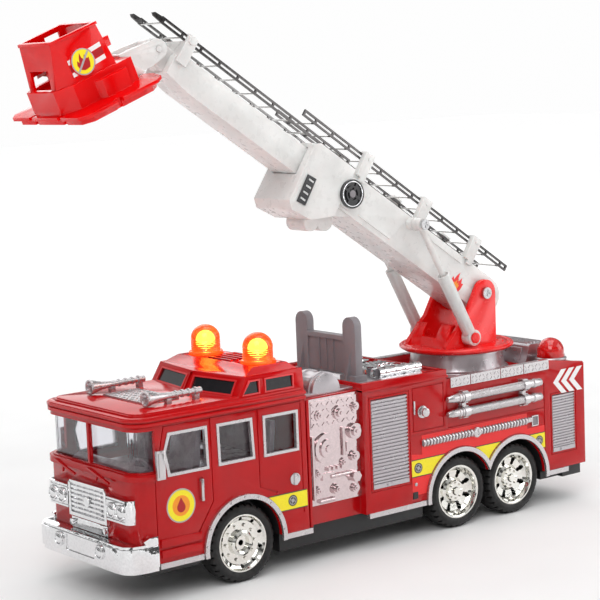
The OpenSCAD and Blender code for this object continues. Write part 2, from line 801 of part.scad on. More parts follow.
module body_shell() {
    color(red) truck() difference() {
        body_solid();
        block([panel_x0 - 3, -pump_hw + 2.8, sill_z - 1], [pump_x1 - wall, pump_hw - 2.8, deck_z - wall]);
        block([rear_x1 - 2, -hw + wall, sill_z - 1], [mid_x1 - wall, hw - wall, mid_top_z - 6.6]);
        block([rear_x1 + 2, -mid_hw + wall + 2, deck_z], [mid_x1 - wall, mid_hw - wall - 2, mid_top_z + 1]);
        block([body_x0 + wall, -hw + wall, sill_z - 1], [rear_x1 - 1, hw - wall, rear_top_z - wall]);
        // hub of the turntable passes through the top
        translate([tt_x, 0, rear_top_z - 4]) cylinder(h = 8, r = 12);
        both() {
            for (k = [1:2]) rod_y(axles[k], hw - 18, hw + 3, tyre_r, arch_r);
            // shutter pockets
            block([large_x0, mid_hw - slot_d, 33.2], [large_x1, mid_hw + 1, 82]);
            block([small_x0, hw - slot_d, 30.6], [small_x1, hw + 1, 64.4]);
            body_grooves();
        }
        // the chassis spine passes under the front wall
        block([pump_x1 - wall - 1, -spine_hw - 0.2, sill_z - 1], [pump_x1 + 1, spine_hw + 0.2, spine_z1 + 0.2]);
        // rear pocket between the tail lights
        block([body_x0 - 2, -26, 34], [body_x0 + slot_d, 26, 74]);
    }
}

module body_grooves() {
    y0 = mid_hw - seam_d;
    y1 = mid_hw + 1;
    difference() {
        block([locker_x0, y0, 59.8], [locker_x1, y1, 84.4]);
        block([locker_x0 + seam_t, y0 - 1, 59.8 + seam_t], [locker_x1 - seam_t, y1 + 1, 84.4 - seam_t]);
    }
    difference() {
        block([large_x0 - 1.6, y0, 31.6], [large_x1 + 1.6, y1, 83.6]);
        block([large_x0 - 1.1, y0 - 1, 32.1], [large_x1 + 1.1, y1 + 1, 83.1]);
    }
    z0 = hw - seam_d;
    block([-217.2, z0, 58], [rear_x1 - 1, hw + 1, 58 + seam_t]);
    block([-217.2, z0, sill_z - 1], [-217.2 + seam_t, hw + 1, 72.6]);
    difference() {
        block([small_x0 - 1.4, z0, 29.2], [small_x1 + 1.4, hw + 1, 65.8]);
        block([small_x0 - 0.9, z0 - 1, 29.7], [small_x1 + 0.9, hw + 2, 65.3]);
    }
    slab([[-144, 46], [-144.6, 46], [-144.6, 57], [-144, 57]], z0, hw + 1);
}

// ribbed roller shutter leaf between two x and z values, standing on y
module shutter(x0, x1, z0, z1, y, n) {
    p = (z1 - z0 - 2.4) / n;
    plate(concat([[y - 0.9, z0], [y + 0.9, z0], [y + 0.9, z0 + 2.4]],
        [for (i = [0:n - 1]) for (q = [[0.1, 0.1], [0.9, 0.25], [0.9, 0.7], [0.1, 0.9]])
            [y + q[0], z0 + 2.4 + (i + q[1]) * p]],
        [[y - 0.9, z1]]), x0, x1);
    block([(x0 + x1) / 2 - 3, y + 0.9, z0 + 0.6], [(x0 + x1) / 2 + 3, y + 1.5, z0 + 1.8]);
}

module shutters() {
    color(silver) truck() {
        both() {
            shutter(large_x0 + 0.15, large_x1 - 0.15, 33.3, 81.9, mid_hw - 0.7, slats_large);
            shutter(small_x0 + 0.15, small_x1 - 0.15, 30.7, 64.3, hw - 0.7, slats_small);
        }
        translate([body_x0 + 0.7, 0, 0]) rotate([0, 0, 90])
            shutter(-25.8, 25.8, 34.2, 73.8, 0, slats_small);
    }
}

module tail_lights() {
    color([0.8, 0.1, 0.05]) truck() both() for (z = [40, 50, 60])
        rod_x(body_x0 - 1.6, body_x0, 33, z, 3.6);
}

// pump panel: round parts as [x, z, radius, height]
dials = [[-56.1, 60.4, 8.2, 2.6], [-65.2, 78.2, 3.8, 3], [-76, 80, 2.4, 2.6], [-75.4, 66.8, 4.2, 3.2],
    [-74.8, 53.4, 2.8, 2.6], [-49.6, 38.6, 2.4, 2.6], [-61.8, 37.6, 2.8, 3], [-52, 78.4, 3, 2],
    [-67.4, 51.2, 2.2, 2], [-50, 47.6, 2.4, 2.2], [-74.6, 36, 2.4, 2.4]];

module pump_panels() {
    y0 = pump_hw - 0.6;
    color(chrome) truck() both() {
        block([panel_x0 + 0.1, y0, 30.8], [panel_x1, y0 + 1.4, 87.6]);
        // raised tread field at the top
        block([panel_x0 + 2, y0 + 1.4, 71.6], [panel_x1 - 2, y0 + 1.9, 86.2]);
        for (i = [0:8]) for (j = [0:3])
            translate([panel_x0 + 4.4 + 3.4 * i, y0 + 1.9, 73.6 + 3.5 * j])
                rotate([0, (i + j) % 2 * 90 + 45, 0]) translate([-1.1, 0, -0.28]) cube([2.2, 0.4, 0.56]);
        for (d = dials) {
            rod_y(d[0], y0 + 1.4, y0 + 1.4 + d[3] * 0.6, d[1], d[2]);
            rod_y(d[0], y0 + 1.4, y0 + 1.4 + d[3], d[1], d[2] * 0.62);
            rod_y(d[0], y0 + 1.4, y0 + 2 + d[3], d[1], d[2] * 0.24);
        }
        // hexagonal valve handle and its stem
        translate([-74.3, y0 + 1.4, 42.6]) rotate([-90, 0, 0]) cylinder(h = 3.2, r = 3, $fn = 6);
        // pipes, name plates without lettering, and levers
        rod_x(-72, -58, y0 + 2.2, 45, 1.1);
        rod_x(-60, -50, y0 + 2.2, 32.8, 1.1);
        rod_z(-67.6, y0 + 2.2, 55, 70, 1);
        rod_z(-46.8, y0 + 2.2, 34, 68, 0.9);
        block([-71, y0 + 1.4, 56.6], [-69.6, y0 + 2.2, 61.6]);
        block([-60.6, y0 + 1.4, 43.4], [-52.6, y0 + 2.4, 47.2]);
        for (k = [0:3]) block([-66.4 + 3 * k, y0 + 1.4, 48.2], [-65 + 3 * k, y0 + 3.2, 50.2]);
    }
}

hose_rows = [74.5, 66.2];

module suction_hoses() {
    y = hw + 3.1;
    color(silver) truck() both() {
        for (z = hose_rows) {
            rod_x(-206, -143, y, z, 2.3);
            for (k = [0:6]) rod_x(-146.6 - 0.9 * k, -146.2 - 0.9 * k, y, z, 2.55);
            rod_x(-147.6, -143.4, y, z, 2.9);
            translate([-143, y, z]) rotate([0, 90, 0]) cylinder(h = 4.4, r1 = 2.1, r2 = 1.3);
            translate([-206, y, z]) rotate([0, -90, 0]) cylinder(h = 5, r1 = 2.1, r2 = 1.2);
            rod_x(-205.6, -202.6, y, z, 2.9);
        }
        for (x = [-151.6, -198.2]) difference() {
            block([x - 2.2, hw, 61.8], [x + 2.2, hw + 6.3, 77.4]);
            for (z = hose_rows) rod_x(x - 3, x + 3, y, z, 2.31);
            block([x - 3, hw + 4.6, 69.2], [x + 3, hw + 8, 71.4]);
        }
    }
}

module side_mouldings() {
    ribs = 34;
    p = 80.6 / ribs;
    color(grey) truck() both() {
        // ribbed hose along the side, half sunk into it
        intersection() {
            translate([-202, hw - 0.6, 52.6]) rotate([0, 90, 0]) rotate_extrude() polygon(concat([[0, 0]],
                [for (i = [0:ribs - 1]) for (q = [[1.7, 0.05], [2.4, 0.3], [2.4, 0.65], [1.7, 0.9]])
                    [q[0], (i + q[1]) * p]], [[0, 80.6]]));
            block([-203, hw, 48], [-120, hw + 4, 57]);
        }
        rod_y(-162, hw, hw + 1.9, 52.6, 3);
        // square reflector
        difference() {
            block([-211.6, hw, 48.8], [-206.4, hw + 0.8, 55]);
            block([-210.9, hw + 0.5, 49.5], [-207.1, hw + 1, 54.3]);
        }
    }
}

module tread_strips() {
    cuts = [-143.4, -158.7, -182, -200.3, -220.8];
    color(silver) truck() both() for (k = [0:3]) {
        a = cuts[k + 1] + 0.3;
        b = cuts[k] - 0.3;
        block([a, hw, rear_top_z], [b, hw + 0.7, rail_z]);
        block([a, hw - rail_t_y, rail_z], [b, hw + 0.7, rail_z + 0.6]);
        n = floor((b - a) / 2.6);
        for (i = [0:n - 1]) for (j = [0:1])
            translate([a + (i + 0.5) * (b - a) / n, hw + 0.7, 81.6 + 2.3 * j])
                rotate([0, (i + j) % 2 * 90 + 45, 0]) translate([-0.9, 0, -0.2]) cube([1.8, 0.25, 0.4]);
    }
}

rivet_r = 24.7;

module side_trims() {
    y0 = hw;
    y1 = hw + 1.5;
    z0 = sill_z - sill_drop;
    color(silver) truck() both() {
        difference() {
            intersection() {
                rod_y(axles[0], y0, y1, tyre_r, arch_trim_r);
                block([-40, 0, z0], [40, 60, 60]);
            }
            rod_y(axles[0], y0 - 1, y1 + 1, tyre_r, arch_r);
        }
        // rivets round the front arch
        for (a = [8:20.5:172])
            rod_y(axles[0] + rivet_r * cos(a), y1, y1 + 0.5, tyre_r + rivet_r * sin(a), 0.6);
        difference() {
            intersection() {
                union() {
                    rod_y(axles[1], y0, y1, tyre_r, arch_trim_r);
                    rod_y(axles[2], y0, y1, tyre_r, arch_trim_r);
                }
                block([-230, 0, z0], [-100, 60, 60]);
            }
            rod_y(axles[1], y0 - 1, y1 + 1, tyre_r, arch_r);
            rod_y(axles[2], y0 - 1, y1 + 1, tyre_r, arch_r);
        }
        // sill strips between the arches
        for (s = [[26.1, 52.2], [-43.4, -26.1], [-123.4, -82.4], [-235.4, -218.9]])
            block([s[0], hw - 1.8, z0], [s[1], hw + 0.6, sill_z]);
    }
}

// ---------- deck ----------

drum_x = -61.5;

module deck() {
    color(silver) truck() {
        block([panel_x0 - 0.2, -36, deck_z], [pump_x1 - 0.2, 36, deck_z + 1.6]);
        block([rear_x1 + 2.2, -mid_hw + wall + 2.2, deck_z],
            [mid_x1 - wall - 0.2, mid_hw - wall - 2.2, deck_z + 1.2]);
        // half-round drum housings behind the cab
        both() difference() {
            union() {
                rod_y(drum_x, 17, 36, deck_z + 1.6, 9.4);
                for (y = [20, 31]) rod_y(drum_x, y, y + 2.4, deck_z + 1.6, 10.2);
            }
            block([drum_x - 12, 0, deck_z - 12], [drum_x + 12, 60, deck_z + 1.6]);
        }
    }
}

cradle_x = -93;
post_y0 = 15.4;
post_y1 = 25.8;
post_r = (post_y1 - post_y0) / 2;

module cradle() {
    z0 = deck_z + 1.2;
    yc = (post_y0 + post_y1) / 2;
    post = concat([[post_y0, z0]], arc_pts(yc, cradle_top_z - post_r, post_r, 180, 0, 12), [[post_y1, z0]]);
    color(grey) truck() {
        both() {
            plate(post, cradle_x - 2.4, cradle_x + 2.4);
            block([cradle_x - 4.2, post_y0 - 1.4, z0], [cradle_x + 4.2, post_y1 + 1.4, z0 + 3]);
            slab([[cradle_x - 6, z0], [cradle_x + 6, z0], [cradle_x + 2.4, 106], [cradle_x - 2.4, 106]],
                yc - 1, yc + 1);
        }
        block([cradle_x - 1.4, -post_y0, 92.6], [cradle_x + 1.4, post_y0, 113.4]);
        block([cradle_x - 2.6, -post_y0, 110.8], [cradle_x + 2.6, post_y0, 113.4]);
        for (y = [-6, 0, 6]) block([cradle_x - 2.2, y - 0.7, 94], [cradle_x + 2.2, y + 0.7, 111]);
    }
}

module deck_gear() {
    z0 = deck_z + 1.2;
    color(chrome) truck() {
        block([-136.5, -35, z0], [-102, 35, z0 + 0.9]);
        both() {
            rod_x(-134, -104, 28, z0 + 3.2, 2.6);
            for (x = [-131, -124, -117, -110]) rod_x(x, x + 1.8, 28, z0 + 3.2, 3.1);
            translate([-112, 14, z0 + 0.9]) cylinder(h = 2.6, r = 6);
            translate([-112, 14, z0 + 3.5]) cylinder(h = 1.2, r = 3.4);
            translate([-127, 14, z0 + 0.9]) cylinder(h = 2, r = 5);
            translate([-127, 14, z0 + 2.9]) cylinder(h = 1.4, r = 1.8, $fn = 6);
            block([-124, 10, z0 + 0.9], [-116, 18, z0 + 2.4]);
        }
        block([-134, -5, z0 + 0.9], [-105, 5, z0 + 2.6]);
        for (k = [0:8]) block([-132.4 + 3 * k, -4, z0 + 2.6], [-131 + 3 * k, 4, z0 + 3.2]);
    }
}

beacon_x = -235;
beacon_y = 31;

module deck_mounts() {
    color(silver) truck() {
        translate([tt_x, 0, 0]) rotate_extrude() polygon([[hub_r + 0.5, rear_top_z], [ring_r + 2, rear_top_z],
            [ring_r + 2, rear_top_z + 1.8], [ring_r, rear_top_z + 2.6], [ring_r - 1.4, 91],
            [ring_r - 1.4, 92.7], [hub_r + 0.5, 92.7]]);
        both() translate([beacon_x, beacon_y, rear_top_z]) rotate_extrude()
            polygon([[0, 0], [7, 0], [7, 2], [9.3, 2.6], [9.3, 3.8], [8.6, 4.4], [0, 4.4]]);
    }
}

module rear_box() {
    color(silver) truck() {
        slab([[-244, rear_top_z], [-224, rear_top_z], [-227, 90.6], [-228.4, 91.6], [-242.6, 91.6],
            [-244, 90.2]], -21, 21);
        for (k = [0:4]) block([-241 + 2.8 * k, -18, 91.6], [-239.8 + 2.8 * k, 18, 92.2]);
        slab([[-224.6, 82.4], [-223.8, 82.4], [-226, 89.4], [-226.8, 89.4]], -16, 16);
    }
}

// faceted signal dome on its ring
module beacon(y) {
    translate([beacon_x, y, rear_top_z + 4.4]) {
        cylinder(h = 1.2, r = 8.2);
        translate([0, 0, 1.2]) cylinder(h = 2, r = 7.9);
        intersection() {
            translate([0, 0, 3.2]) sphere(r = 7.9);
            translate([-10, -10, 3.2]) cube([20, 20, 10]);
        }
    }
}

module beacon_left() {
    color(bright_red) truck() beacon(beacon_y);
}

module beacon_right() {
    color([1, 0.6, 0.05]) truck() beacon(-beacon_y);
}

// ---------- turntable and boom ----------

pin_r = 3;
screw_r = 2;
strut_screw_r = 1.6;
fit = 0.05;

module turntable() {
    side = concat([[-204, tt_z1 - 1], [-204.2, 122]], arc_pts(pivot_x, pivot_z, 7.7, 180, 27, 10),
        [[-179.4, 112], [-164.6, tt_z1 + 1.4], [-164.6, tt_z1 - 1]]);
    color(bright_red) truck() {
        translate([tt_x, 0, 0]) rotate_extrude($fn = 96) polygon([[0, tt_z0], [tt_r - 2.4, tt_z0],
            [tt_r, tt_z0 + 1.4], [tt_r, tt_z1 - 0.7], [tt_r - 0.8, tt_z1], [tt_r - 2.2, tt_z1],
            [tt_r - 2.4, tt_z1 - 0.5], [tt_r - 3, tt_z1 - 0.5], [tt_r - 3.2, tt_z1], [0, tt_z1]]);
        translate([tt_x, 0, rear_top_z + 0.7]) cylinder(h = tt_z0 - rear_top_z - 0.7, r = hub_r);
        translate([tt_x, 0, rear_top_z - 3.4]) cylinder(h = 4.2, r = 11.5);
        // tread rings between rim and brackets
        for (r = [21, 24, 27]) translate([tt_x, 0, tt_z1]) difference() {
            cylinder(h = 0.4, r = r + 0.5);
            translate([0, 0, -1]) cylinder(h = 3, r = r - 0.5);
            block([-40, -13.6, -1], [40, 13.6, 3]);
            both() block([-18, 14, -1], [26, 30, 3]);
        }
        both() {
            difference() {
                slab(side, plate_y0, plate_y1);
                rod_y(pivot_x, 10, 20, pivot_z, screw_r + fit);
            }
            rod_y(strut_foot[0], plate_y1, strut_y + 4.2, strut_foot[1], pin_r);
            // front web of each bracket
            slab([[-168.6, tt_z1], [-165.4, tt_z1], [-168.6, 104.4], [-172, 109]], 6, plate_y0);
        }
        slab([[-168.6, tt_z1], [-165.6, tt_z1], [-167.4, 101.6], [-169.8, 101.6]], -6, 6);
        slab([[-203.4, tt_z1], [-201.4, tt_z1], [-201.4, 103], [-203.4, 103]], -plate_y0, plate_y0);
    }
}

knob_u = 116;
knob_v = -0.4;
knob_r = 7.9;
collar_hw = 15.8;
boom_x1 = 151;
vent = [[140.8, -21.6], [146.8, -22.2], [147.4, -6.4], [141.4, -5.8]];

module outer_boom() {
    side = concat(arc_pts(-4.5, (boom_top + boom_bot) / 2, (boom_top - boom_bot) / 2, 90, 270, 10),
        [[boom_x1, boom_bot], [boom_x1, boom_top]]);
    color(white) boom_frame() difference() {
        union() {
            slab(side, -boom_hw, boom_hw);
            // collar with its deep front box
            slab([[120, -16.4], [133, -26], [147, -27.6], [boom_x1, -24], [boom_x1, 9.6], [148, 12.4],
                [120, 12.4]], -collar_hw, collar_hw);
            slab([[108, boom_bot + 0.1], [113.5, boom_bot + 0.1], [121, boom_bot + 0.1], [121, -17.2]],
                -boom_hw + 1, boom_hw - 1);
            rod_y(126.5, -8, 8, -24.4, 4.8);
            rod_y(118.6, -8, 8, -19.2, 5.4);
            both() {
                rod_y(knob_u, boom_hw - 1, collar_hw, knob_v, knob_r + 0.9);
                rod_y(strut_eye_u, boom_hw - 1, 18.4, strut_eye_v, 3.6);
                // long moulded rib along each side
                slab([[78, -7.6], [104, -7.6], [104, -6.4], [78, -6.4]], boom_hw - 1, boom_hw + 0.6);
                slab([[24, 6.6], [58, 6.6], [58, 7.6], [24, 7.6]], boom_hw - 1, boom_hw + 0.5);
            }
        }
        block([6, -inner_hw - slide_gap, inner_bot - slide_gap],
            [boom_x1 + 1, inner_hw + slide_gap, inner_top + slide_gap]);
        both() {
            rod_y(0, 5, 16, 0, screw_r);
            rod_y(strut_eye_u, 10.9, 20, strut_eye_v, strut_screw_r);
            // vent pocket
            slab(vent, collar_hw - 0.6, collar_hw + 1);
        }
    }
}

module boom_fittings() {
    color(black) boom_frame() both() {
        difference() {
            slab(vent, collar_hw - 0.6, collar_hw + 0.7);
            for (k = [0:3]) translate([0, 0, 3.7 * k])
                block([142.1, collar_hw, -20.3], [146, collar_hw + 1, -18.5]);
        }
        // four-spoke disc
        difference() {
            rod_y(knob_u, collar_hw, collar_hw + 1.5, knob_v, knob_r);
            difference() {
                rod_y(knob_u, collar_hw + 0.7, collar_hw + 3, knob_v, 6.5);
                rod_y(knob_u, collar_hw + 0.2, collar_hw + 4, knob_v, 2.4);
                block([knob_u - 0.7, collar_hw, knob_v - 7], [knob_u + 0.7, collar_hw + 4, knob_v + 7]);
                block([knob_u - 7, collar_hw, knob_v - 0.7], [knob_u + 7, collar_hw + 4, knob_v + 0.7]);
                difference() {
                    rod_y(knob_u, collar_hw, collar_hw + 4, knob_v, 4.5);
                    rod_y(knob_u, collar_hw - 1, collar_hw + 5, knob_v, 3.5);
                }
            }
        }
    }
}

// screw along Y with a slotted round head ending at y1
module side_screw(u, v, y0, y1, r, head_r, head_h) {
    difference() {
        union() {
            rod_y(u, y0, y1 - head_h + eps, v, r);
            rod_y(u, y1 - head_h, y1, v, head_r);
        }
        for (a = [0, 90]) translate([u, 0, v]) rotate([0, a + 20, 0])
            block([-head_r * 0.6, y1 - 0.5, -0.35], [head_r * 0.6, y1 + 1, 0.35]);
    }
}

module boom_screws() {
    color(silver) boom_frame() both() {
        side_screw(0, 0, 11, plate_y1 + 1.7, screw_r, 3.3, 1.4);
        side_screw(strut_eye_u, strut_eye_v, 11.2, strut_y + 4.9, strut_screw_r, 2.9, 1.3);
    }
}

bracket_us = [20, 64.6, 114.5];

module ladder_brackets() {
    y0 = rail1_y + rail_t / 2;
    color(white) boom_frame() both() for (u = bracket_us) {
        block([u - 3.4, y0, boom_top], [u + 3.4, collar_hw, rail1_v + rail_h + 0.2]);
        block([u - 3.4, boom_hw, boom_top - 2.4], [u + 0.4, collar_hw, boom_top]);
        block([u - 3.4, rail1_y - 1.2, rail1_v + rail_h + 0.2], [u + 3.4, collar_hw, rail1_v + rail_h + 1.4]);
        rod_y(u, collar_hw, collar_hw + 0.7, rail1_v + 1.8, 1);
    }
}

// twin-bar side rail
module rail(u0, u1, y, v) {
    block([u0, y - rail_t / 2, v], [u1, y + rail_t / 2, v + 1.1]);
    block([u0, y - rail_t / 2, v + rail_h - 1.1], [u1, y + rail_t / 2, v + rail_h]);
}

module ladder(u0, u1, y, v, first) {
    n = floor((u1 - first) / rung_pitch);
    both() {
        rail(u0, u1, y, v);
        for (i = [0:n]) block([first + i * rung_pitch - 0.6, y - rail_t / 2, v + 1.1],
            [first + i * rung_pitch + 0.6, y + rail_t / 2, v + rail_h - 1.1]);
        for (u = [u0 + 0.6, u1 - 0.6])
            block([u - 0.6, y - rail_t / 2, v + 1.1], [u + 0.6, y + rail_t / 2, v + rail_h - 1.1]);
    }
    for (i = [0:n]) rod_y(first + i * rung_pitch, -y + rail_t / 2, y - rail_t / 2, v + 0.55, 0.5);
}

module lower_ladder() {
    color(chrome) boom_frame() ladder(-12, 164, rail1_y, rail1_v, -6.4);
}

module upper_ladder() {
    color(chrome) slider_frame() {
        ladder(122, 264, rail2_y, rail2_v, 128.6);
        both() slab([[264, rail2_v + 0.2], [269, rail2_v + 0.6], [270.4, rail2_v + 1.6],
            [269, rail2_v + 2.8], [264, rail2_v + 3.2]], rail2_y - 0.5, rail2_y + 0.5);
    }
}

inner_x0 = 95;
nose_x = 247.6;
tongue_hw = 5;

module inner_boom() {
    color(white) slider_frame() difference() {
        union() {
            slab([[inner_x0, inner_bot], [232, inner_bot], [nose_x, inner_bot + 2], [nose_x, 5],
                [240, inner_top], [inner_x0, inner_top]], -inner_hw, inner_hw);
            slab(concat([[nose_x - 4, inner_bot + 2.4]], arc_pts(tip_u, tip_v, 5.4, -90, 90, 10),
                [[nose_x - 4, tip_v + 5.3]]), -tongue_hw, tongue_hw);
            rod_y(tip_u, -8.9, 8.9, tip_v, 1.5);
            // saddle that carries the upper ladder
            block([240.4, -rail2_y - 0.6, 4], [247, rail2_y + 0.6, rail2_v]);
            both() {
                block([240.4, rail2_y + 0.6, 2], [247, rail2_y + 2.2, rail2_v + rail_h + 0.6]);
                rod_y(243.7, rail2_y + 0.6, rail2_y + 3, rail2_v + 2, 2.4);
            }
        }
        block([inner_x0 - 1, -inner_hw + 2, inner_bot + 2], [238, inner_hw - 2, inner_top - 2]);
    }
}

ear_y0 = 5.4;
ear_y1 = 8.4;
basket_x0 = 23;

module basket_arm() {
    color(white) basket_frame() {
        both() difference() {
            slab(concat(arc_pts(0, 0, 5.2, 90, 250, 8), [[6, -6.4], [basket_x0, -6.4], [basket_x0, 6.2],
                [16, 6.2]]), ear_y0, ear_y1);
            rod_y(0, 4, 10, 0, 1.5 + fit);
        }
        block([12, -ear_y0, -6.4], [basket_x0, ear_y0, -4.4]);
        block([basket_x0 - 2, -ear_y0, -4.4], [basket_x0, ear_y0, 6.2]);
        for (y = [-12.6, 9.4]) slab([[14, -6.4], [basket_x0, -6.4], [basket_x0, 4.4]], y, y + 3.2);
        both() block([basket_x0 - 2, ear_y1, -6.4], [basket_x0, 12.6, 4.4]);
    }
}

flange_z0 = -11.4;
flange_z1 = -6.6;
rim_top_z = 28;

// leaning walls of the basket's upper part, shrunk by d
module shield(d, z0, z1) {
    intersection() {
        slab([[30 + d, flange_z1], [67.6 - d, flange_z1], [59.4 - d, rim_top_z + 4], [34 + d, rim_top_z + 4]],
            -40, 40);
        plate([[-18.4 + d, flange_z1], [18.4 - d, flange_z1], [15.2 - d, rim_top_z + 4],
            [-15.2 + d, rim_top_z + 4]], 0, 90);
        prism([[25, -20], [25, 20], [50 - d * 0.6, 20], [68, 11 - d * 0.6], [68, -11 + d * 0.6],
            [50 - d * 0.6, -20]], z0, z1);
    }
}

// foot flange outline, shrunk by d
function flange_plan(d) = [[15.6 + d, -21 + d], [18.6 + d, -31.6 + d], [24 + d, -36 + d], [65.6 - d, -36 + d],
    [70 - d, -31 + d], [70 - d, 31 - d], [65.6 - d, 36 - d], [24 + d, 36 - d], [18.6 + d, 31.6 - d],
    [15.6 + d, 21 - d]];

module basket() {
    t = 1.6;
    color(bright_red) basket_frame() difference() {
        union() {
            // wide foot flange over a deeper rib
            prism(flange_plan(0), flange_z1 - 1.8, flange_z1);
            prism(flange_plan(2.6), flange_z0, flange_z1 - 1.7);
            shield(0, flange_z1 - 0.5, rim_top_z);
            // lower tub
            prism([[basket_x0, -18.6], [59, -18.6], [67.2, -12.6], [67.2, 12.6], [59, 18.6], [basket_x0, 18.6]],
                flange_z1 - 0.5, 5.4);
            // side pockets of the tub
            both() prism([[27, 17], [48, 17], [45, 22.6], [30, 22.6]], flange_z1 - 0.5, 2.4);
            // rim lip
            difference() {
                shield(-0.7, rim_top_z - 1.4, rim_top_z);
                shield(t, flange_z1, rim_top_z + 1);
            }
            both() {
                block([28.6, 11, 14], [33.4, 14.8, 19]);
                // side disc
                translate([48.4, 16.2, 13.2]) rotate([-85.3, 0, 0]) cylinder(h = 1.4, r = 6.8);
            }
        }
        shield(t, 3.8, rim_top_z + 1);
        prism([[basket_x0 + t, -17], [58.4, -17], [65.6, -12], [65.6, 12], [58.4, 17], [basket_x0 + t, 17]],
            flange_z1 + 1.6, 3.8);
        // front look-through window
        block([54, -9, 5.2], [72, 8, 14.6]);
        // recessed panel above it
        translate([64.2, -8, 16.6]) rotate([0, -12, 0]) cube([4, 15, 9]);
        // windows in the right wall and its corner
        block([37, -24, 20.4], [46, -8, 25.4]);
        block([50.6, -24, 5.2], [60.4, -10, 10.2]);
        // notches in the flange edge
        both() {
            block([45.6, 32.4, flange_z0 - 1], [49, 37, flange_z1 + 1]);
            block([66.4, 12, flange_z0 - 1], [71, 15, flange_z1 + 1]);
        }
        // foot well keeps the flange light
        block([26, -29, flange_z0 - 1], [63, 29, flange_z1 - 2.4]);
    }
}

// ---------- struts ----------

eye_x = pivot_x + strut_eye_u * cos(boom_angle) - strut_eye_v * sin(boom_angle);
eye_z = pivot_z + strut_eye_u * sin(boom_angle) + strut_eye_v * cos(boom_angle);
strut_angle = atan2(eye_z - strut_foot[1], eye_x - strut_foot[0]);
tube_len = 43.3;
tube_r = 3.7;
tube_bore_r = 3.05;
rod_r = 1.8;
rod_len = 47;
eye_hw = 3.2;

module strut_tube() {
    truck() translate([strut_foot[0], strut_y, strut_foot[1]]) rotate([0, -strut_angle, 0]) difference() {
        union() {
            rod_y(0, -eye_hw, eye_hw, 0, 4.6);
            rod_x(3.6, tube_len, 0, 0, tube_r);
        }
        rod_y(0, -eye_hw - 1, eye_hw + 1, 0, pin_r + fit);
        rod_x(8, tube_len + 1, 0, 0, tube_bore_r);
    }
}

module strut_rod() {
    truck() translate([eye_x, strut_y, eye_z]) rotate([0, 180 - strut_angle, 0]) difference() {
        union() {
            rod_y(0, -eye_hw, eye_hw, 0, 3.6);
            rod_x(2.8, rod_len, 0, 0, rod_r);
        }
        rod_y(0, -eye_hw - 1, eye_hw + 1, 0, strut_screw_r + fit);
    }
}

module strut_tube_left() {
    color(white) strut_tube();
}

module strut_tube_right() {
    color(white) mirror([0, 1, 0]) strut_tube();
}

module strut_rod_left() {
    color(white) strut_rod();
}

module strut_rod_right() {
    color(white) mirror([0, 1, 0]) strut_rod();
}

chassis();
battery_door();
batteries();
screws();
motor();
gearbox();
circuit_board();
speaker();
power_switch();
cab_shell();
window_frames();
glazing();
cab_interior();
cab_roof();
pod_glazing();
roof_lights();
air_horns();
roof_tread();
grille();
headlights();
bumper();
side_fittings();
body_shell();
pump_panels();
shutters();
suction_hoses();
side_mouldings();
tread_strips();
deck();
cradle();
deck_gear();
deck_mounts();
rear_box();
beacon_left();
beacon_right();
side_trims();
tail_lights();
axle_front();
axle_mid();
axle_rear();
tyres_front();
tyres_mid();
tyres_rear();
rims_front();
rims_mid();
rims_rear();
turntable();
outer_boom();
boom_fittings();
boom_screws();
ladder_brackets();
lower_ladder();
inner_boom();
upper_ladder();
basket_arm();
basket();
strut_tube_left();
strut_tube_right();
strut_rod_left();
strut_rod_right();
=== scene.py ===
import json
import math

import bmesh
import bpy
from mathutils import Matrix, Vector

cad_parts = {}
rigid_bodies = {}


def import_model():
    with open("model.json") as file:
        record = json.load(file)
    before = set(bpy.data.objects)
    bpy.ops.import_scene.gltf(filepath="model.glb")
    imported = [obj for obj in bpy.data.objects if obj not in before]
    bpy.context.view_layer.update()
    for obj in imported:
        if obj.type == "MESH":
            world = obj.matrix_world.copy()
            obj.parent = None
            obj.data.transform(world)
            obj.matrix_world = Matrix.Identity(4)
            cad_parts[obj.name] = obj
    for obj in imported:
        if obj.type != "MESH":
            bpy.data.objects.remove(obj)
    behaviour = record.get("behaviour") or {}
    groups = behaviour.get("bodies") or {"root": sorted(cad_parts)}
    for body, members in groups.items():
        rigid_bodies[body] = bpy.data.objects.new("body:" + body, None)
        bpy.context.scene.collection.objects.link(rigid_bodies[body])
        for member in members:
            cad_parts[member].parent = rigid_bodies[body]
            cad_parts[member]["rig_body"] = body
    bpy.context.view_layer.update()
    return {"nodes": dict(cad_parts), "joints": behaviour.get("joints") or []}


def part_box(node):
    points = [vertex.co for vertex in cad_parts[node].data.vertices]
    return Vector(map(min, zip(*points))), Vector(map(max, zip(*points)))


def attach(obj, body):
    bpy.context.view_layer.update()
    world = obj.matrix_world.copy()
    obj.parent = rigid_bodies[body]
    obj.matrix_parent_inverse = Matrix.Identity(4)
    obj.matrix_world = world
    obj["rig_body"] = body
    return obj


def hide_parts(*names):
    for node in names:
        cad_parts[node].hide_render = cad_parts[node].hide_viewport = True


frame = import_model()

# ---------- places ----------
# Lengths in the shape code are millimetres; x is counted from the front axle, z from the ground.

MM = 0.001
JOINTS = {j["name"]: j for j in frame["joints"]}
BODY_OF = {n: o["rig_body"] for n, o in frame["nodes"].items()}


def middle(node):
    low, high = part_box(node)
    return (low + high) / 2


AXLE_X = middle("axle_front").x
TRUCK = Matrix.Translation((AXLE_X, 0, 0)) @ Matrix.Scale(MM, 4)
MID_AXLE = (middle("axle_mid").x - AXLE_X) / MM
REAR_AXLE = (middle("axle_rear").x - AXLE_X) / MM
AXLE_Z = middle("axle_front").z / MM

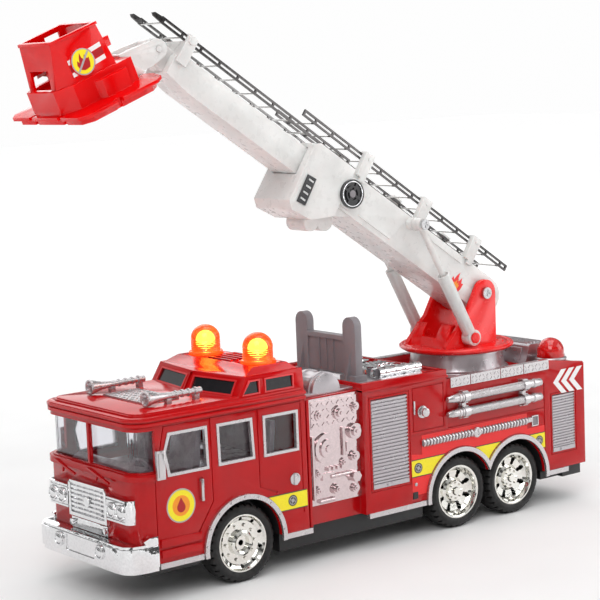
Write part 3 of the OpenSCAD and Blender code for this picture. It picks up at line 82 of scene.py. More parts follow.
slide_axis = Vector(JOINTS["boom_extend"]["axis"])
BOOM_ANGLE = math.atan2(slide_axis.z, slide_axis.x)
BOOM = (Matrix.Translation(JOINTS["boom_raise"]["pos_m"]) @ Matrix.Rotation(-BOOM_ANGLE, 4, "Y")
        @ Matrix.Scale(MM, 4))
BASKET_PITCH = math.radians(21)
BASKET = (Matrix.Translation(JOINTS["basket_tilt"]["pos_m"]) @ Matrix.Rotation(BASKET_PITCH, 4, "Y")
          @ Matrix.Scale(MM, 4))

SIDE_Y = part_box("side_trims")[1].y / MM - 2
ARCH_CLEAR_R = 26.4


def wall(side, y):
    """Local x forward, y up and z outward on the left (+1) or right (-1) side, y millimetres out."""
    return Matrix(((1, 0, 0, 0), (0, 0, side, side * y), (0, 1, 0, 0), (0, 0, 0, 1)))


# ---------- shapes ----------


class Shape:
    """Closed solids in millimetres, gathered into one mesh."""

    def __init__(self):
        self.bm = bmesh.new()

    def skin(self, rings, m=Matrix()):
        """Joins rings of points; each ring has the same number of points. Ends are capped."""
        rows = [[self.bm.verts.new(m @ Vector(p)) for p in ring] for ring in rings]
        count = len(rows[0])
        for low, high in zip(rows, rows[1:]):
            for i in range(count):
                j = (i + 1) % count
                self.bm.faces.new((low[i], low[j], high[j], high[i]))
        self.bm.faces.new(list(reversed(rows[0])))
        self.bm.faces.new(rows[-1])

    def extrude(self, outline, h0, h1, m=Matrix()):
        self.skin([[(x, y, h0) for x, y in outline], [(x, y, h1) for x, y in outline]], m=m)

    def raised(self, outline, h0, h1, edge, m=Matrix()):
        """An outline extruded with a small chamfer toward its centre at the top."""
        cx = sum(p[0] for p in outline) / len(outline)
        cy = sum(p[1] for p in outline) / len(outline)
        top = []
        for x, y in outline:
            d = math.hypot(x - cx, y - cy)
            k = 1 - edge / max(d, edge * 1.5)
            top.append((cx + (x - cx) * k, cy + (y - cy) * k, h1))
        self.skin([[(x, y, h0) for x, y in outline], [(x, y, h1 - edge) for x, y in outline], top], m=m)

    def block(self, a, b, m=Matrix(), edge=0.12):
        self.raised([(a[0], a[1]), (b[0], a[1]), (b[0], b[1]), (a[0], b[1])], a[2], b[2], edge, m)

    def lathe(self, profile, steps=32, m=Matrix()):
        """profile is (radius, height) from bottom to top, round the local z axis."""
        rings = []
        for r, h in profile:
            r = max(r, 0.01)
            rings.append([(r * math.cos(math.tau * i / steps), r * math.sin(math.tau * i / steps), h)
                          for i in range(steps)])
        self.skin(rings, m=m)

    def ring(self, r0, r1, h0, h1, steps=40, m=Matrix()):
        """A flat ring between two radii."""
        loops = []
        for r, h in ((r0, h0), (r1, h0), (r1, h1), (r0, h1)):
            loops.append([self.bm.verts.new(m @ Vector((r * math.cos(math.tau * i / steps),
                                                         r * math.sin(math.tau * i / steps), h)))
                          for i in range(steps)])
        for a, b in zip(loops, loops[1:] + loops[:1]):
            for i in range(steps):
                j = (i + 1) % steps
                self.bm.faces.new((a[i], a[j], b[j], b[i]))

    def piece(self, name, place, body, mat, slot=None, smooth=30):
        bmesh.ops.recalc_face_normals(self.bm, faces=self.bm.faces)
        mesh = bpy.data.meshes.new(name)
        self.bm.to_mesh(mesh)
        self.bm.free()
        mesh.transform(place)
        return show(name, mesh, body, mat, smooth)


def show(name, mesh, body, mat, smooth=30):
    mesh.polygons.foreach_set("use_smooth", [True] * len(mesh.polygons))
    mesh.set_sharp_from_angle(angle=math.radians(smooth))
    obj = bpy.data.objects.new(name, mesh)
    bpy.context.scene.collection.objects.link(obj)
    mesh.materials.clear()
    mesh.materials.append(mat)
    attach(obj, body)
    return obj


def arc(cx, cy, r, a0, a1, steps):
    """Points on a circle from a0 to a1 degrees."""
    return [(cx + r * math.cos(math.radians(a0 + (a1 - a0) * i / steps)),
             cy + r * math.sin(math.radians(a0 + (a1 - a0) * i / steps))) for i in range(steps + 1)]


# ---------- materials ----------


class Shader:
    """A Principled material with a few node helpers in object space."""

    def __init__(self, name, **values):
        self.mat = bpy.data.materials.new(name)
        self.mat.use_nodes = True
        self.tree = self.mat.node_tree
        self.bsdf = self.tree.nodes["Principled BSDF"]
        self.where = self.add("ShaderNodeTexCoord").outputs["Object"]
        for key, value in values.items():
            self.set(key, value)

    def add(self, kind, **settings):
        node = self.tree.nodes.new(kind)
        for key, value in settings.items():
            setattr(node, key, value)
        return node

    def set(self, key, value):
        socket = self.bsdf.inputs[key.replace("_", " ")]
        socket.default_value = (*value, 1) if isinstance(value, tuple) and len(value) == 3 and \
            socket.type == "RGBA" else value

    def link(self, output, socket):
        self.tree.links.new(output, socket)

    def noise(self, scale, detail=3.0, rough=0.55):
        node = self.add("ShaderNodeTexNoise")
        node.inputs["Scale"].default_value = scale
        node.inputs["Detail"].default_value = detail
        node.inputs["Roughness"].default_value = rough
        self.link(self.where, node.inputs["Vector"])
        return node.outputs["Fac"]

    def cells(self, scale):
        node = self.add("ShaderNodeTexVoronoi", feature="F1")
        node.inputs["Scale"].default_value = scale
        self.link(self.where, node.inputs["Vector"])
        return node.outputs["Distance"]

    def spread(self, value, low, high, start=0.3, end=0.7):
        node = self.add("ShaderNodeMapRange")
        node.inputs["From Min"].default_value = start
        node.inputs["From Max"].default_value = end
        node.inputs["To Min"].default_value = low
        node.inputs["To Max"].default_value = high
        self.link(value, node.inputs["Value"])
        return node.outputs["Result"]

    def tint(self, value, dark, light, start=0.3, end=0.7):
        node = self.add("ShaderNodeValToRGB")
        node.color_ramp.elements[0].position = start
        node.color_ramp.elements[0].color = (*dark, 1)
        node.color_ramp.elements[1].position = end
        node.color_ramp.elements[1].color = (*light, 1)
        self.link(value, node.inputs["Fac"])
        self.link(node.outputs["Color"], self.bsdf.inputs["Base Color"])

    def rough(self, value, low, high):
        self.link(self.spread(value, low, high), self.bsdf.inputs["Roughness"])

    def bumps(self, *layers):
        """Each layer is (height output, strength, distance in mm); later layers lie on earlier ones."""
        below = None
        for height, strength, distance in layers:
            node = self.add("ShaderNodeBump")
            node.inputs["Strength"].default_value = strength
            node.inputs["Distance"].default_value = distance * MM
            self.link(height, node.inputs["Height"])
            if below:
                self.link(below, node.inputs["Normal"])
            below = node.outputs["Normal"]
        self.link(below, self.bsdf.inputs["Normal"])


def shade(color, k):
    return tuple(min(c * k, 1.0) for c in color)


def moulded_plastic(name, color, low, high, coat=0.0, glow_depth=0.0, grain=0.15, **values):
    """Injection-moulded plastic: slight flow streaks, faint sink waves and a fine skin."""
    s = Shader(name, **values)
    s.tint(s.noise(70, 4), shade(color, 0.9), shade(color, 1.06))
    s.rough(s.noise(240, 5), low, high)
    s.bumps((s.noise(45, 2), grain, 0.12), (s.noise(2600, 2), grain * 0.6, 0.02))
    s.set("Coat_Weight", coat)
    s.set("Coat_Roughness", 0.06)
    if glow_depth:
        s.set("Subsurface_Weight", 0.35)
        s.set("Subsurface_Radius", (1.0, 0.25 + 0.75 * color[1], 0.2 + 0.8 * color[2]))
        s.set("Subsurface_Scale", glow_depth * MM)
    return s.mat


def plated_plastic(name, color, low, high, ripple=0.35):
    """Vacuum-plated plastic: mirror bright, with the ripples and specks of its moulding."""
    s = Shader(name, Metallic=1.0)
    s.tint(s.noise(900, 4), shade(color, 0.84), color)
    s.rough(s.noise(420, 5), low, high)
    s.bumps((s.noise(210, 3), ripple, 0.3), (s.noise(1500, 2), ripple * 0.4, 0.02))
    return s.mat


def silver_paint(name, color, low, high):
    """Silver paint: a faint fine mottle under a soft gloss."""
    s = Shader(name, Metallic=0.8)
    s.tint(s.noise(2600, 2), shade(color, 0.93), shade(color, 1.05))
    s.rough(s.noise(200, 3), low, high)
    s.bumps((s.noise(60, 2), 0.1, 0.08))
    s.set("Coat_Weight", 0.25)
    s.set("Coat_Roughness", 0.2)
    return s.mat


# distance from the ladders' middle plane, in metres, where the rungs meet the rails
RAIL_INNER_Y = (0.0088, 0.0094)


def ladder_plating(name):
    """Dark plating on the long rails, with the rungs between them worn pale."""
    s = Shader(name, Metallic=1.0)
    split = s.add("ShaderNodeSeparateXYZ")
    s.link(s.where, split.inputs["Vector"])
    across = s.add("ShaderNodeMath", operation="ABSOLUTE")
    s.link(split.outputs["Y"], across.inputs[0])
    near_rail = s.spread(across.outputs["Value"], 0.0, 1.0, *RAIL_INNER_Y)
    s.tint(near_rail, (0.72, 0.71, 0.7), (0.1, 0.095, 0.095), 0.1, 0.9)
    s.rough(s.noise(500, 4), 0.1, 0.22)
    s.bumps((s.noise(220, 3), 0.3, 0.1))
    return s.mat


def dotted_red(name, color):
    """Glossy translucent red with a fine dotted texture pressed into its flat areas."""
    s = Shader(name, Subsurface_Weight=0.3, Subsurface_Radius=(1.0, 0.2, 0.15), Subsurface_Scale=0.003)
    s.tint(s.noise(60, 3), shade(color, 0.86), color)
    s.rough(s.noise(200, 3), 0.1, 0.2)
    s.bumps((s.noise(50, 2), 0.12, 0.12), (s.cells(1100), 0.18, 0.05))
    s.set("Specular_IOR_Level", 0.3)
    s.set("Coat_Weight", 0.15)
    s.set("Coat_Roughness", 0.05)
    return s.mat


def vinyl_tyre(name):
    """Soft black vinyl with a fine matt grain."""
    s = Shader(name)
    s.tint(s.noise(500, 5), (0.008, 0.008, 0.008), (0.024, 0.023, 0.023))
    s.rough(s.noise(160, 4), 0.42, 0.62)
    s.bumps((s.noise(1200, 4), 0.35, 0.05))
    s.set("Specular_IOR_Level", 0.35)
    return s.mat


def steel(name):
    """Zinc-plated steel, finely speckled."""
    s = Shader(name, Metallic=1.0)
    s.tint(s.noise(1800, 4), (0.42, 0.42, 0.43), (0.66, 0.66, 0.67))
    s.rough(s.noise(700, 4), 0.2, 0.38)
    s.bumps((s.noise(3000, 3), 0.2, 0.02))
    return s.mat


def clear_plastic(name, color, rough):
    """Water-clear moulding, only slightly wavy."""
    s = Shader(name, Transmission_Weight=1.0, IOR=1.47)
    s.tint(s.noise(60, 2), shade(color, 0.95), color)
    s.rough(s.noise(300, 3), rough, rough + 0.04)
    s.bumps((s.noise(70, 2), 0.15, 0.1))
    return s.mat


def printed_vinyl(name, color, low=0.28, high=0.4):
    """Printed sticker film: a soft sheen, a fine print screen and slight waviness."""
    s = Shader(name)
    s.tint(s.noise(1500, 3), shade(color, 0.94), shade(color, 1.04))
    s.rough(s.noise(260, 3), low, high)
    s.bumps((s.noise(180, 2), 0.1, 0.05))
    return s.mat


def lit(name, color, power, inner):
    """A glowing lamp body."""
    s = Shader(name, Roughness=0.3)
    s.tint(s.noise(300, 2), shade(color, 0.9), color)
    s.set("Emission_Color", (*inner, 1.0))
    s.set("Emission_Strength", power)
    s.bumps((s.noise(600, 2), 0.1, 0.02))
    return s.mat


RED = moulded_plastic("deep_red", (0.46, 0.001, 0.003), 0.1, 0.2, coat=0.1, Specular_IOR_Level=0.3)
# the roof red is the deep body red made lighter: a painted highlight for the light that falls on the roof
# from above
ROOF_RED_PAINTED_LIGHT = moulded_plastic("roof_red_painted_light", (0.54, 0.001, 0.003), 0.1, 0.2, coat=0.1, Specular_IOR_Level=0.3)
BRIGHT_RED = moulded_plastic("bright_red", (0.86, 0.004, 0.004), 0.18, 0.3, coat=0.2, glow_depth=3)
# the pod frame red is the same red plastic made paler: a painted highlight for the light that the raised
# frame edges catch
FRAME_RED_PAINTED_HIGHLIGHT = moulded_plastic("pod_frame_red_painted_highlight", (0.72, 0.03, 0.035), 0.15, 0.25, coat=0.3)
BASKET_RED = dotted_red("basket_red", (0.8, 0.001, 0.002))
WHITE = moulded_plastic("boom_white", (0.74, 0.73, 0.715), 0.24, 0.36, coat=0.1, glow_depth=4)
BLACK = moulded_plastic("black_plastic", (0.012, 0.012, 0.013), 0.34, 0.5, grain=0.4)
DARK = moulded_plastic("dark_gloss", (0.012, 0.011, 0.014), 0.1, 0.2, coat=0.3)
GREY = moulded_plastic("grey_plastic", (0.24, 0.22, 0.235), 0.38, 0.52, grain=0.25)
INTERIOR = moulded_plastic("cab_trim", (0.42, 0.34, 0.38), 0.2, 0.35, coat=0.3)
BOARD = moulded_plastic("circuit_green", (0.01, 0.1, 0.03), 0.3, 0.45)
SILVER = silver_paint("silver_paint", (0.5, 0.47, 0.49), 0.26, 0.36)
BRIGHT_SILVER = silver_paint("silver_trim", (0.6, 0.57, 0.58), 0.2, 0.3)
CHROME = plated_plastic("plated_chrome", (0.88, 0.88, 0.89), 0.03, 0.1, ripple=0.8)
RIM_CHROME = plated_plastic("plated_rim", (0.88, 0.87, 0.82), 0.05, 0.14, ripple=0.25)
LADDER = ladder_plating("ladder_plating")
PANEL_CHROME = plated_plastic("panel_plating", (0.7, 0.58, 0.59), 0.04, 0.12, ripple=1.0)
TYRE = vinyl_tyre("tyre_vinyl")
STEEL = steel("zinc_steel")
CLEAR = clear_plastic("cab_glazing", (0.93, 0.93, 0.96), 0.02)
RED_LENS = moulded_plastic("red_lens", (0.85, 0.006, 0.006), 0.06, 0.14, coat=0.5, glow_depth=3,
                           Transmission_Weight=0.35)
AMBER_LENS = moulded_plastic("amber_lens", (0.95, 0.33, 0.005), 0.06, 0.14, coat=0.5, glow_depth=3,
                             Transmission_Weight=0.35)
CELL = moulded_plastic("cell_wrap", (0.03, 0.035, 0.045), 0.2, 0.3)
FILM_YELLOW = printed_vinyl("film_yellow", (0.93, 0.78, 0.01))
FILM_RED = printed_vinyl("film_red", (0.83, 0.012, 0.012))
FILM_DEEP = printed_vinyl("film_deep_red", (0.42, 0.004, 0.008))
FILM_WHITE = printed_vinyl("film_white", (0.87, 0.85, 0.85))
FILM_DARK = printed_vinyl("film_dark", (0.035, 0.03, 0.035))
FILM_GREY = printed_vinyl("film_grey", (0.42, 0.41, 0.42))
FILM_ORANGE = printed_vinyl("film_orange", (0.9, 0.3, 0.012))

# ---------- CAD nodes ----------

FINISHES = {
    RED: "cab_shell body_shell",
    # the cab roof takes the lighter red, a painted highlight from above
    ROOF_RED_PAINTED_LIGHT: "cab_roof",
    BRIGHT_RED: "turntable",
    BASKET_RED: "basket",
    WHITE: "outer_boom inner_boom basket_arm ladder_brackets strut_tube_left strut_tube_right "
           "strut_rod_left strut_rod_right",
    BLACK: "chassis battery_door power_switch speaker",
    DARK: "pod_glazing boom_fittings",
    GREY: "cradle side_mouldings gearbox",
    INTERIOR: "cab_interior",
    BOARD: "circuit_board",
    SILVER: "shutters deck deck_mounts rear_box",
    BRIGHT_SILVER: "window_frames air_horns roof_tread side_fittings suction_hoses tread_strips side_trims",
    CHROME: "grille headlights bumper deck_gear",
    PANEL_CHROME: "pump_panels",
    LADDER: "lower_ladder upper_ladder",
    RIM_CHROME: "rims_front rims_mid rims_rear",
    TYRE: "tyres_front tyres_mid tyres_rear",
    STEEL: "screws motor boom_screws axle_front axle_mid axle_rear",
    CLEAR: "glazing",
    RED_LENS: "beacon_left tail_lights",
    AMBER_LENS: "beacon_right",
    CELL: "batteries",
}
for finish, names in FINISHES.items():
    for name in names.split():
        obj = frame["nodes"][name]
        obj.data.materials.clear()
        obj.data.materials.append(finish)


def softened(node, width, finish):
    """A copy of a CAD node with its hard edges rounded, as its mould leaves them."""
    bm = bmesh.new()
    bm.from_mesh(frame["nodes"][node].data)
    bmesh.ops.remove_doubles(bm, verts=bm.verts, dist=2e-6)
    bmesh.ops.dissolve_limit(bm, angle_limit=math.radians(0.4), verts=bm.verts, edges=bm.edges)
    mesh = bpy.data.meshes.new(node + "_moulded")
    bm.to_mesh(mesh)
    bm.free()
    mesh.polygons.foreach_set("use_smooth", [True] * len(mesh.polygons))
    obj = bpy.data.objects.new(node + "_moulded", mesh)
    bpy.context.scene.collection.objects.link(obj)
    bevel = obj.modifiers.new("edges", "BEVEL")
    bevel.width = width * MM
    bevel.segments = 2
    bevel.limit_method = "ANGLE"
    bevel.angle_limit = math.radians(30)
    bevel.use_clamp_overlap = True
    bevel.harden_normals = True
    bpy.context.view_layer.update()
    done = bpy.data.meshes.new_from_object(obj.evaluated_get(bpy.context.evaluated_depsgraph_get()))
    obj.modifiers.clear()
    obj.data = done
    done.materials.clear()
    done.materials.append(finish)
    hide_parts(node)
    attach(obj, BODY_OF[node])
    return obj


ROUNDED = {
    "cab_shell": 0.25, "body_shell": 0.25, "cab_roof": 0.3, "turntable": 0.4, "basket": 0.3,
    "outer_boom": 0.5, "inner_boom": 0.5, "basket_arm": 0.3, "bumper": 0.5, "headlights": 0.3,
    "grille": 0.2, "cradle": 0.5, "rear_box": 0.5, "side_fittings": 0.25, "deck": 0.3,
    "strut_tube_left": 0.4, "strut_tube_right": 0.4, "ladder_brackets": 0.3, "deck_mounts": 0.3,
    "chassis": 0.3, "cab_interior": 0.4, "tyres_front": 0.25, "tyres_mid": 0.25, "tyres_rear": 0.25,
}
for name, width in ROUNDED.items():
    softened(name, width, next(f for f, names in FINISHES.items() if name in names.split()))

# ---------- stickers on the sides ----------

FILM_T = 0.12


def arch_angle(z):
    return math.degrees(math.asin((z - AXLE_Z) / ARCH_CLEAR_R))


def film(name, body, mat, outlines, y, lift=0.0):
    """Sticker film of one colour on both sides of the truck; outlines are (x, z)."""
    shape = Shape()
    for side in (1, -1):
        for outline in outlines:
            shape.extrude(outline, -0.02, FILM_T + lift, wall(side, y))
    return shape.piece(name, TRUCK, body, mat)


FRONT_LABEL_Z = (33, 41.4)
LABEL_Z0 = 35
LABEL_Z1 = 43.8
VALLEY_X = (MID_AXLE + REAR_AXLE) / 2
VALLEY_ANGLE = math.degrees(math.acos((VALLEY_X - REAR_AXLE) / ARCH_CLEAR_R))
CAB_BACK_X = -40.6
WING_X0 = -113.3
WING_X1 = -216.6
WING_Z = 24.5


def front_label(z0, z1):
    edge = arc(0, AXLE_Z, ARCH_CLEAR_R, 180 - arch_angle(z0), 180 - arch_angle(z1), 6)
    return edge + [(CAB_BACK_X, z1), (CAB_BACK_X, z0)]


def left_label(z0, z1):
    edge = arc(MID_AXLE, AXLE_Z, ARCH_CLEAR_R, arch_angle(z1), arch_angle(z0), 6)
    return edge + [(WING_X0, z0), (WING_X0, z1)]


def right_label(z0, z1):
    return arc(REAR_AXLE, AXLE_Z, ARCH_CLEAR_R, 180 - arch_angle(z1), 180 - arch_angle(z0), 6) + \
        [(WING_X1, z0), (WING_X1, z1)]


def valley_label(z1):
    rear_edge = arc(REAR_AXLE, AXLE_Z, ARCH_CLEAR_R, arch_angle(z1), VALLEY_ANGLE, 4)
    front_edge = arc(MID_AXLE, AXLE_Z, ARCH_CLEAR_R, 180 - VALLEY_ANGLE, 180 - arch_angle(z1), 4)
    return rear_edge + front_edge[1:]


side_field = [(WING_X0, WING_Z), (WING_X0, 47.6), (-121.4, 46.4), (-121.4, 57), (-202.6, 57), (-202.6, 48),
              (WING_X1, 48), (WING_X1, WING_Z)]
side_field += arc(REAR_AXLE, AXLE_Z, ARCH_CLEAR_R, 180 - arch_angle(WING_Z), 90, 10)
side_field += arc(REAR_AXLE, AXLE_Z, ARCH_CLEAR_R, 90, VALLEY_ANGLE, 6)[1:]
side_field += arc(MID_AXLE, AXLE_Z, ARCH_CLEAR_R, 180 - VALLEY_ANGLE, arch_angle(WING_Z), 16)[1:]
film("side_film_red", "truck", FILM_RED, [side_field], SIDE_Y)



def labels(border):
    """Outlines of the four yellow labels, grown by a border at top and bottom."""
    z0 = LABEL_Z0 - border
    z1 = LABEL_Z1 + border
    front = front_label(FRONT_LABEL_Z[0] - border, FRONT_LABEL_Z[1] + border)
    return [front, left_label(z0, z1), right_label(z0, z1), valley_label(z1)]


film("side_film_border", "truck", FILM_DARK, labels(0.5), SIDE_Y, 0.06)
film("side_film_yellow", "truck", FILM_YELLOW, labels(0), SIDE_Y, 0.12)

BADGES = [(-31, 37.3), (-118.2, 39.4), (-212, 39.6)]
badge_dark, badge_pale = Shape(), Shape()
for side in (1, -1):
    for x, z in BADGES:
        at = wall(side, SIDE_Y) @ Matrix.Translation((x, z, 0))
        badge_dark.lathe([(2.9, 0), (2.9, 0.34), (2.7, 0.36)], 28, at)
        badge_pale.ring(1.9, 2.3, 0.3, 0.42, 28, at)
        badge_pale.lathe([(1.0, 0.3), (1.0, 0.42)], 16, at)
        for k in range(4):
            spoke = at @ Matrix.Rotation(math.tau * k / 4 + 0.4, 4, "Z")
            badge_pale.extrude([(1.1, -0.22), (1.8, -0.22), (1.8, 0.22), (1.1, 0.22)], 0.3, 0.42, spoke)
badge_dark.piece("badge_discs", TRUCK, "truck", FILM_DARK)
badge_pale.piece("badge_rings", TRUCK, "truck", FILM_GREY)

# chevrons over the rear shutter, pointing forward
CHEVRON_TIP = (-224.6, 71.6)
CHEVRON_PITCH = 6.6
CHEVRON_REACH = 6.8
CHEVRON_RISE = 7
CHEVRON_BAR = 4.2


def chevron(x, z):
    back = x - CHEVRON_REACH
    return [(x, z), (back, z + CHEVRON_RISE), (back - CHEVRON_BAR, z + CHEVRON_RISE), (x - CHEVRON_BAR, z),
            (back - CHEVRON_BAR, z - CHEVRON_RISE), (back, z - CHEVRON_RISE)]


chevrons = [chevron(CHEVRON_TIP[0] - CHEVRON_PITCH * k, CHEVRON_TIP[1]) for k in range(3)]
film("rear_chevrons", "truck", FILM_WHITE, chevrons, SIDE_Y)

# round door emblem: pale rim, warm field, plain drop
DOOR_X, DOOR_Z = 38.4, 47.4
emblem = {
    "rim": (FILM_GREY, 0.0),
    "field": (FILM_YELLOW, 0.05),
    "core": (FILM_ORANGE, 0.1),
    "drop": (FILM_DEEP, 0.15),
}
outlines = {
    "rim": arc(DOOR_X, DOOR_Z, 8.6, 0, 351, 39),
    "field": arc(DOOR_X, DOOR_Z, 7.9, 0, 351, 39),
    "core": arc(DOOR_X, DOOR_Z, 5.2, 0, 348, 29),
    "drop": [(DOOR_X, DOOR_Z + 4.2)] + arc(DOOR_X, DOOR_Z - 0.9, 2.5, 150, 390, 12),
}
for part, (mat, lift) in emblem.items():
    film("door_emblem_" + part, "truck", mat, [outlines[part]], SIDE_Y, lift)

# small studs and pads on the lower wings
studs, pads = Shape(), Shape()
for side in (1, -1):
    for x in (-116.2, -215):
        at = wall(side, SIDE_Y) @ Matrix.Translation((x, 30.6, 0))
        studs.lathe([(1.0, 0), (1.0, 0.5), (0.6, 0.7)], 16, at)
    pads.block((-117.4, 22.6, 0), (-113.8, 26.4, 0.5), wall(side, SIDE_Y))
studs.piece("wing_studs", TRUCK, "truck", STEEL, "steel")
pads.piece("wing_pads", TRUCK, "truck", BLACK, "black_plastic")

# ---------- suction hoses ----------


def hose_profile(length, pitch, r0, r1):
    """(radius, height) of a ribbed hose."""
    count = int(length / pitch)
    points = [(r0, 0)]
    for i in range(count):
        base = i * length / count
        points += [(r0, base + 0.1 * pitch), (r1, base + 0.35 * pitch), (r1, base + 0.65 * pitch),
                   (r0, base + 0.9 * pitch)]
    return points + [(r0, length)]


def along_x(side, x, y, z):
    return Matrix.Translation((x, side * y, z)) @ Matrix.Rotation(math.pi / 2, 4, "Y")


HOSE_Y = SIDE_Y + 3.1
HOSE_Z = (74.5, 66.2)
CLAMP_X = (-151.6, -198.2)
# (radius, height) of the ringed nozzle in front and the coupling behind
HOSE_TIP = [(2.3, 0), (2.3, 2.4), (2.75, 2.6), (2.75, 3.6), (2.3, 3.8), (2.3, 4.6), (2.75, 4.8), (2.75, 5.8),
            (2.3, 6), (2.2, 9.5), (1.5, 13.2), (1.35, 13.4), (1.2, 13.5)]
HOSE_TAIL = [(2.3, 0), (2.3, 6), (2.8, 6.3), (2.8, 7.6), (2.5, 7.9), (2.4, 12.4), (2.2, 12.8), (1.6, 12.9)]
hoses, clamps = Shape(), Shape()
for side in (1, -1):
    for z in HOSE_Z:
        hoses.lathe(hose_profile(44, 0.9, 2.15, 2.45), 24, along_x(side, -197, HOSE_Y, z))
        hoses.lathe(HOSE_TIP, 28, along_x(side, -152, HOSE_Y, z))
        turned = Matrix.Translation((-198, side * HOSE_Y, z)) @ Matrix.Rotation(-math.pi / 2, 4, "Y")
        hoses.lathe(HOSE_TAIL, 28, turned)
    for x in CLAMP_X:
        plane = wall(side, 0)
        clamps.block((x - 2.1, 62, SIDE_Y), (x + 2.1, 77.3, SIDE_Y + 1.2), plane, 0.4)
        for z in HOSE_Z:
            strap = arc(HOSE_Y, z, 3.15, -100, 100, 16)
            strap += list(reversed(arc(HOSE_Y, z, 2.5, -100, 100, 16)))
            across = Matrix(((0, 0, 1, x - 2), (side, 0, 0, 0), (0, 1, 0, 0), (0, 0, 0, 1)))
            clamps.extrude(strap, 0, 4, across)
            clamps.block((x - 2, z - 3.4, SIDE_Y), (x + 2, z - 2.6, HOSE_Y + 0.8), plane, 0.2)
            clamps.block((x - 2, z + 2.6, SIDE_Y), (x + 2, z + 3.4, HOSE_Y + 0.8), plane, 0.2)
        clamps.block((x - 1.6, 69, SIDE_Y), (x + 1.6, 71.6, HOSE_Y - 0.6), plane, 0.3)
hose_piece = hoses.piece("suction_hose_set", TRUCK, "truck", BRIGHT_SILVER, "silver_plastic")
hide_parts("suction_hoses")
clamps.piece("hose_clamps", TRUCK, "truck", BRIGHT_SILVER, "silver_plastic")

# ---------- roof lights ----------

LIGHT_R = 8.0
light_low, light_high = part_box("roof_lights")
LIGHT_X = ((light_low.x + light_high.x) / 2 - AXLE_X) / MM
LIGHT_Y = light_high.y / MM - 9.2
LIGHT_Z = light_low.z / MM
dome, bulbs = Shape(), Shape()
for side in (1, -1):
    at = Matrix.Translation((LIGHT_X, side * LIGHT_Y, LIGHT_Z))
    profile = [(9.1, 0), (9.2, 0.4), (9.2, 1.8), (8.9, 2.2), (8.1, 2.4)]
    for i in range(6):
        profile += [(8.0, 2.6 + i), (7.75, 3.1 + i)]
    profile += [(LIGHT_R * math.cos(math.radians(t)), 8.6 + LIGHT_R * 0.97 * math.sin(math.radians(t)))
                for t in range(0, 90, 9)]
    dome.lathe(profile + [(0, 8.6 + LIGHT_R * 0.97)], 48, at)
    bulbs.lathe([(0, 3)] + [(3.6 * math.cos(math.radians(t)), 8 + 3.6 * math.sin(math.radians(t)))
                            for t in range(-80, 90, 10)] + [(0, 11.6)], 24, at)
lens = Shader("lamp_lens", Transmission_Weight=0.85, IOR=1.45)
lens.tint(lens.noise(220, 2), (1.0, 0.1, 0.012), (1.0, 0.17, 0.02))
lens.rough(lens.noise(300, 2), 0.12, 0.2)
lens.bumps((lens.noise(500, 2), 0.1, 0.05))
lens.set("Emission_Color", (1.0, 0.1, 0.012, 1.0))
lens.set("Emission_Strength", 0.45)
dome_piece = dome.piece("roof_light_lenses", TRUCK, "truck", lens.mat, "lamp_plastic")
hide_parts("roof_lights")
bulbs.piece("roof_light_bulbs", TRUCK, "truck", lit("bulb_glow", (1.0, 0.8, 0.5), 9, (1.0, 0.55, 0.16)))

# ---------- roof pod frames ----------

ROOF_TOP = 94
POD_FRONT = 6.4
POD_SWEEP = math.radians(9)
POD_LEAN = math.atan2(7.6, 13)
PANE_Z = (96.2, 102.2)
PANE_Y = (4.6, 34.4)
# x of each side pane's edges, front and back, at the bottom and at the top
FRONT_SIDE_PANE = ((-4.8, -9.2), (-14.6, -14.6))
REAR_SIDE_PANE = ((-19.2, -19.2), (-36.4, -36.4))
POD_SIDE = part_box("pod_glazing")[1].y / MM


def border(shape, outline, width, h0, h1, m):
    """Four raised bars round a four-cornered pane."""
    cx = sum(p[0] for p in outline) / 4
    cy = sum(p[1] for p in outline) / 4
    outer = []
    for x, y in outline:
        outer.append((x + math.copysign(width, x - cx), y + math.copysign(width, y - cy)))
    for i in range(4):
        j = (i + 1) % 4
        shape.extrude([outline[i], outline[j], outer[j], outer[i]], h0, h1, m)


pod_frames = Shape()
for side in (1, -1):
    slope = math.cos(POD_LEAN)
    s0, s1 = ((z - ROOF_TOP + 2) / slope for z in PANE_Z)
    up = Matrix.Translation((POD_FRONT, 0, ROOF_TOP - 2))
    turned = Matrix.Rotation(side * POD_SWEEP, 4, "Z") @ Matrix.Rotation(-POD_LEAN, 4, "Y")
    facing = Matrix(((0, 0, 1, 0), (side, 0, 0, 0), (0, 1, 0, 0), (0, 0, 0, 1)))
    screen = [(PANE_Y[0], s0), (PANE_Y[1], s0), (PANE_Y[1], s1), (PANE_Y[0], s1)]
    border(pod_frames, screen, 0.9, -0.3, 0.45, up @ turned @ facing)
    for (low_front, top_front), (low_back, top_back) in (REAR_SIDE_PANE, FRONT_SIDE_PANE):
        pane = [(low_back, PANE_Z[0]), (low_front, PANE_Z[0]), (top_front, PANE_Z[1]), (top_back, PANE_Z[1])]
        border(pod_frames, pane, 0.8, -0.8, 0.75, wall(side, POD_SIDE))
# the frames take the paler red, a painted highlight on their edges
pod_frames.piece("pod_window_frames", TRUCK, "truck", FRAME_RED_PAINTED_HIGHLIGHT, "red_plastic")

# ---------- ribbed side hoses and reflectors ----------

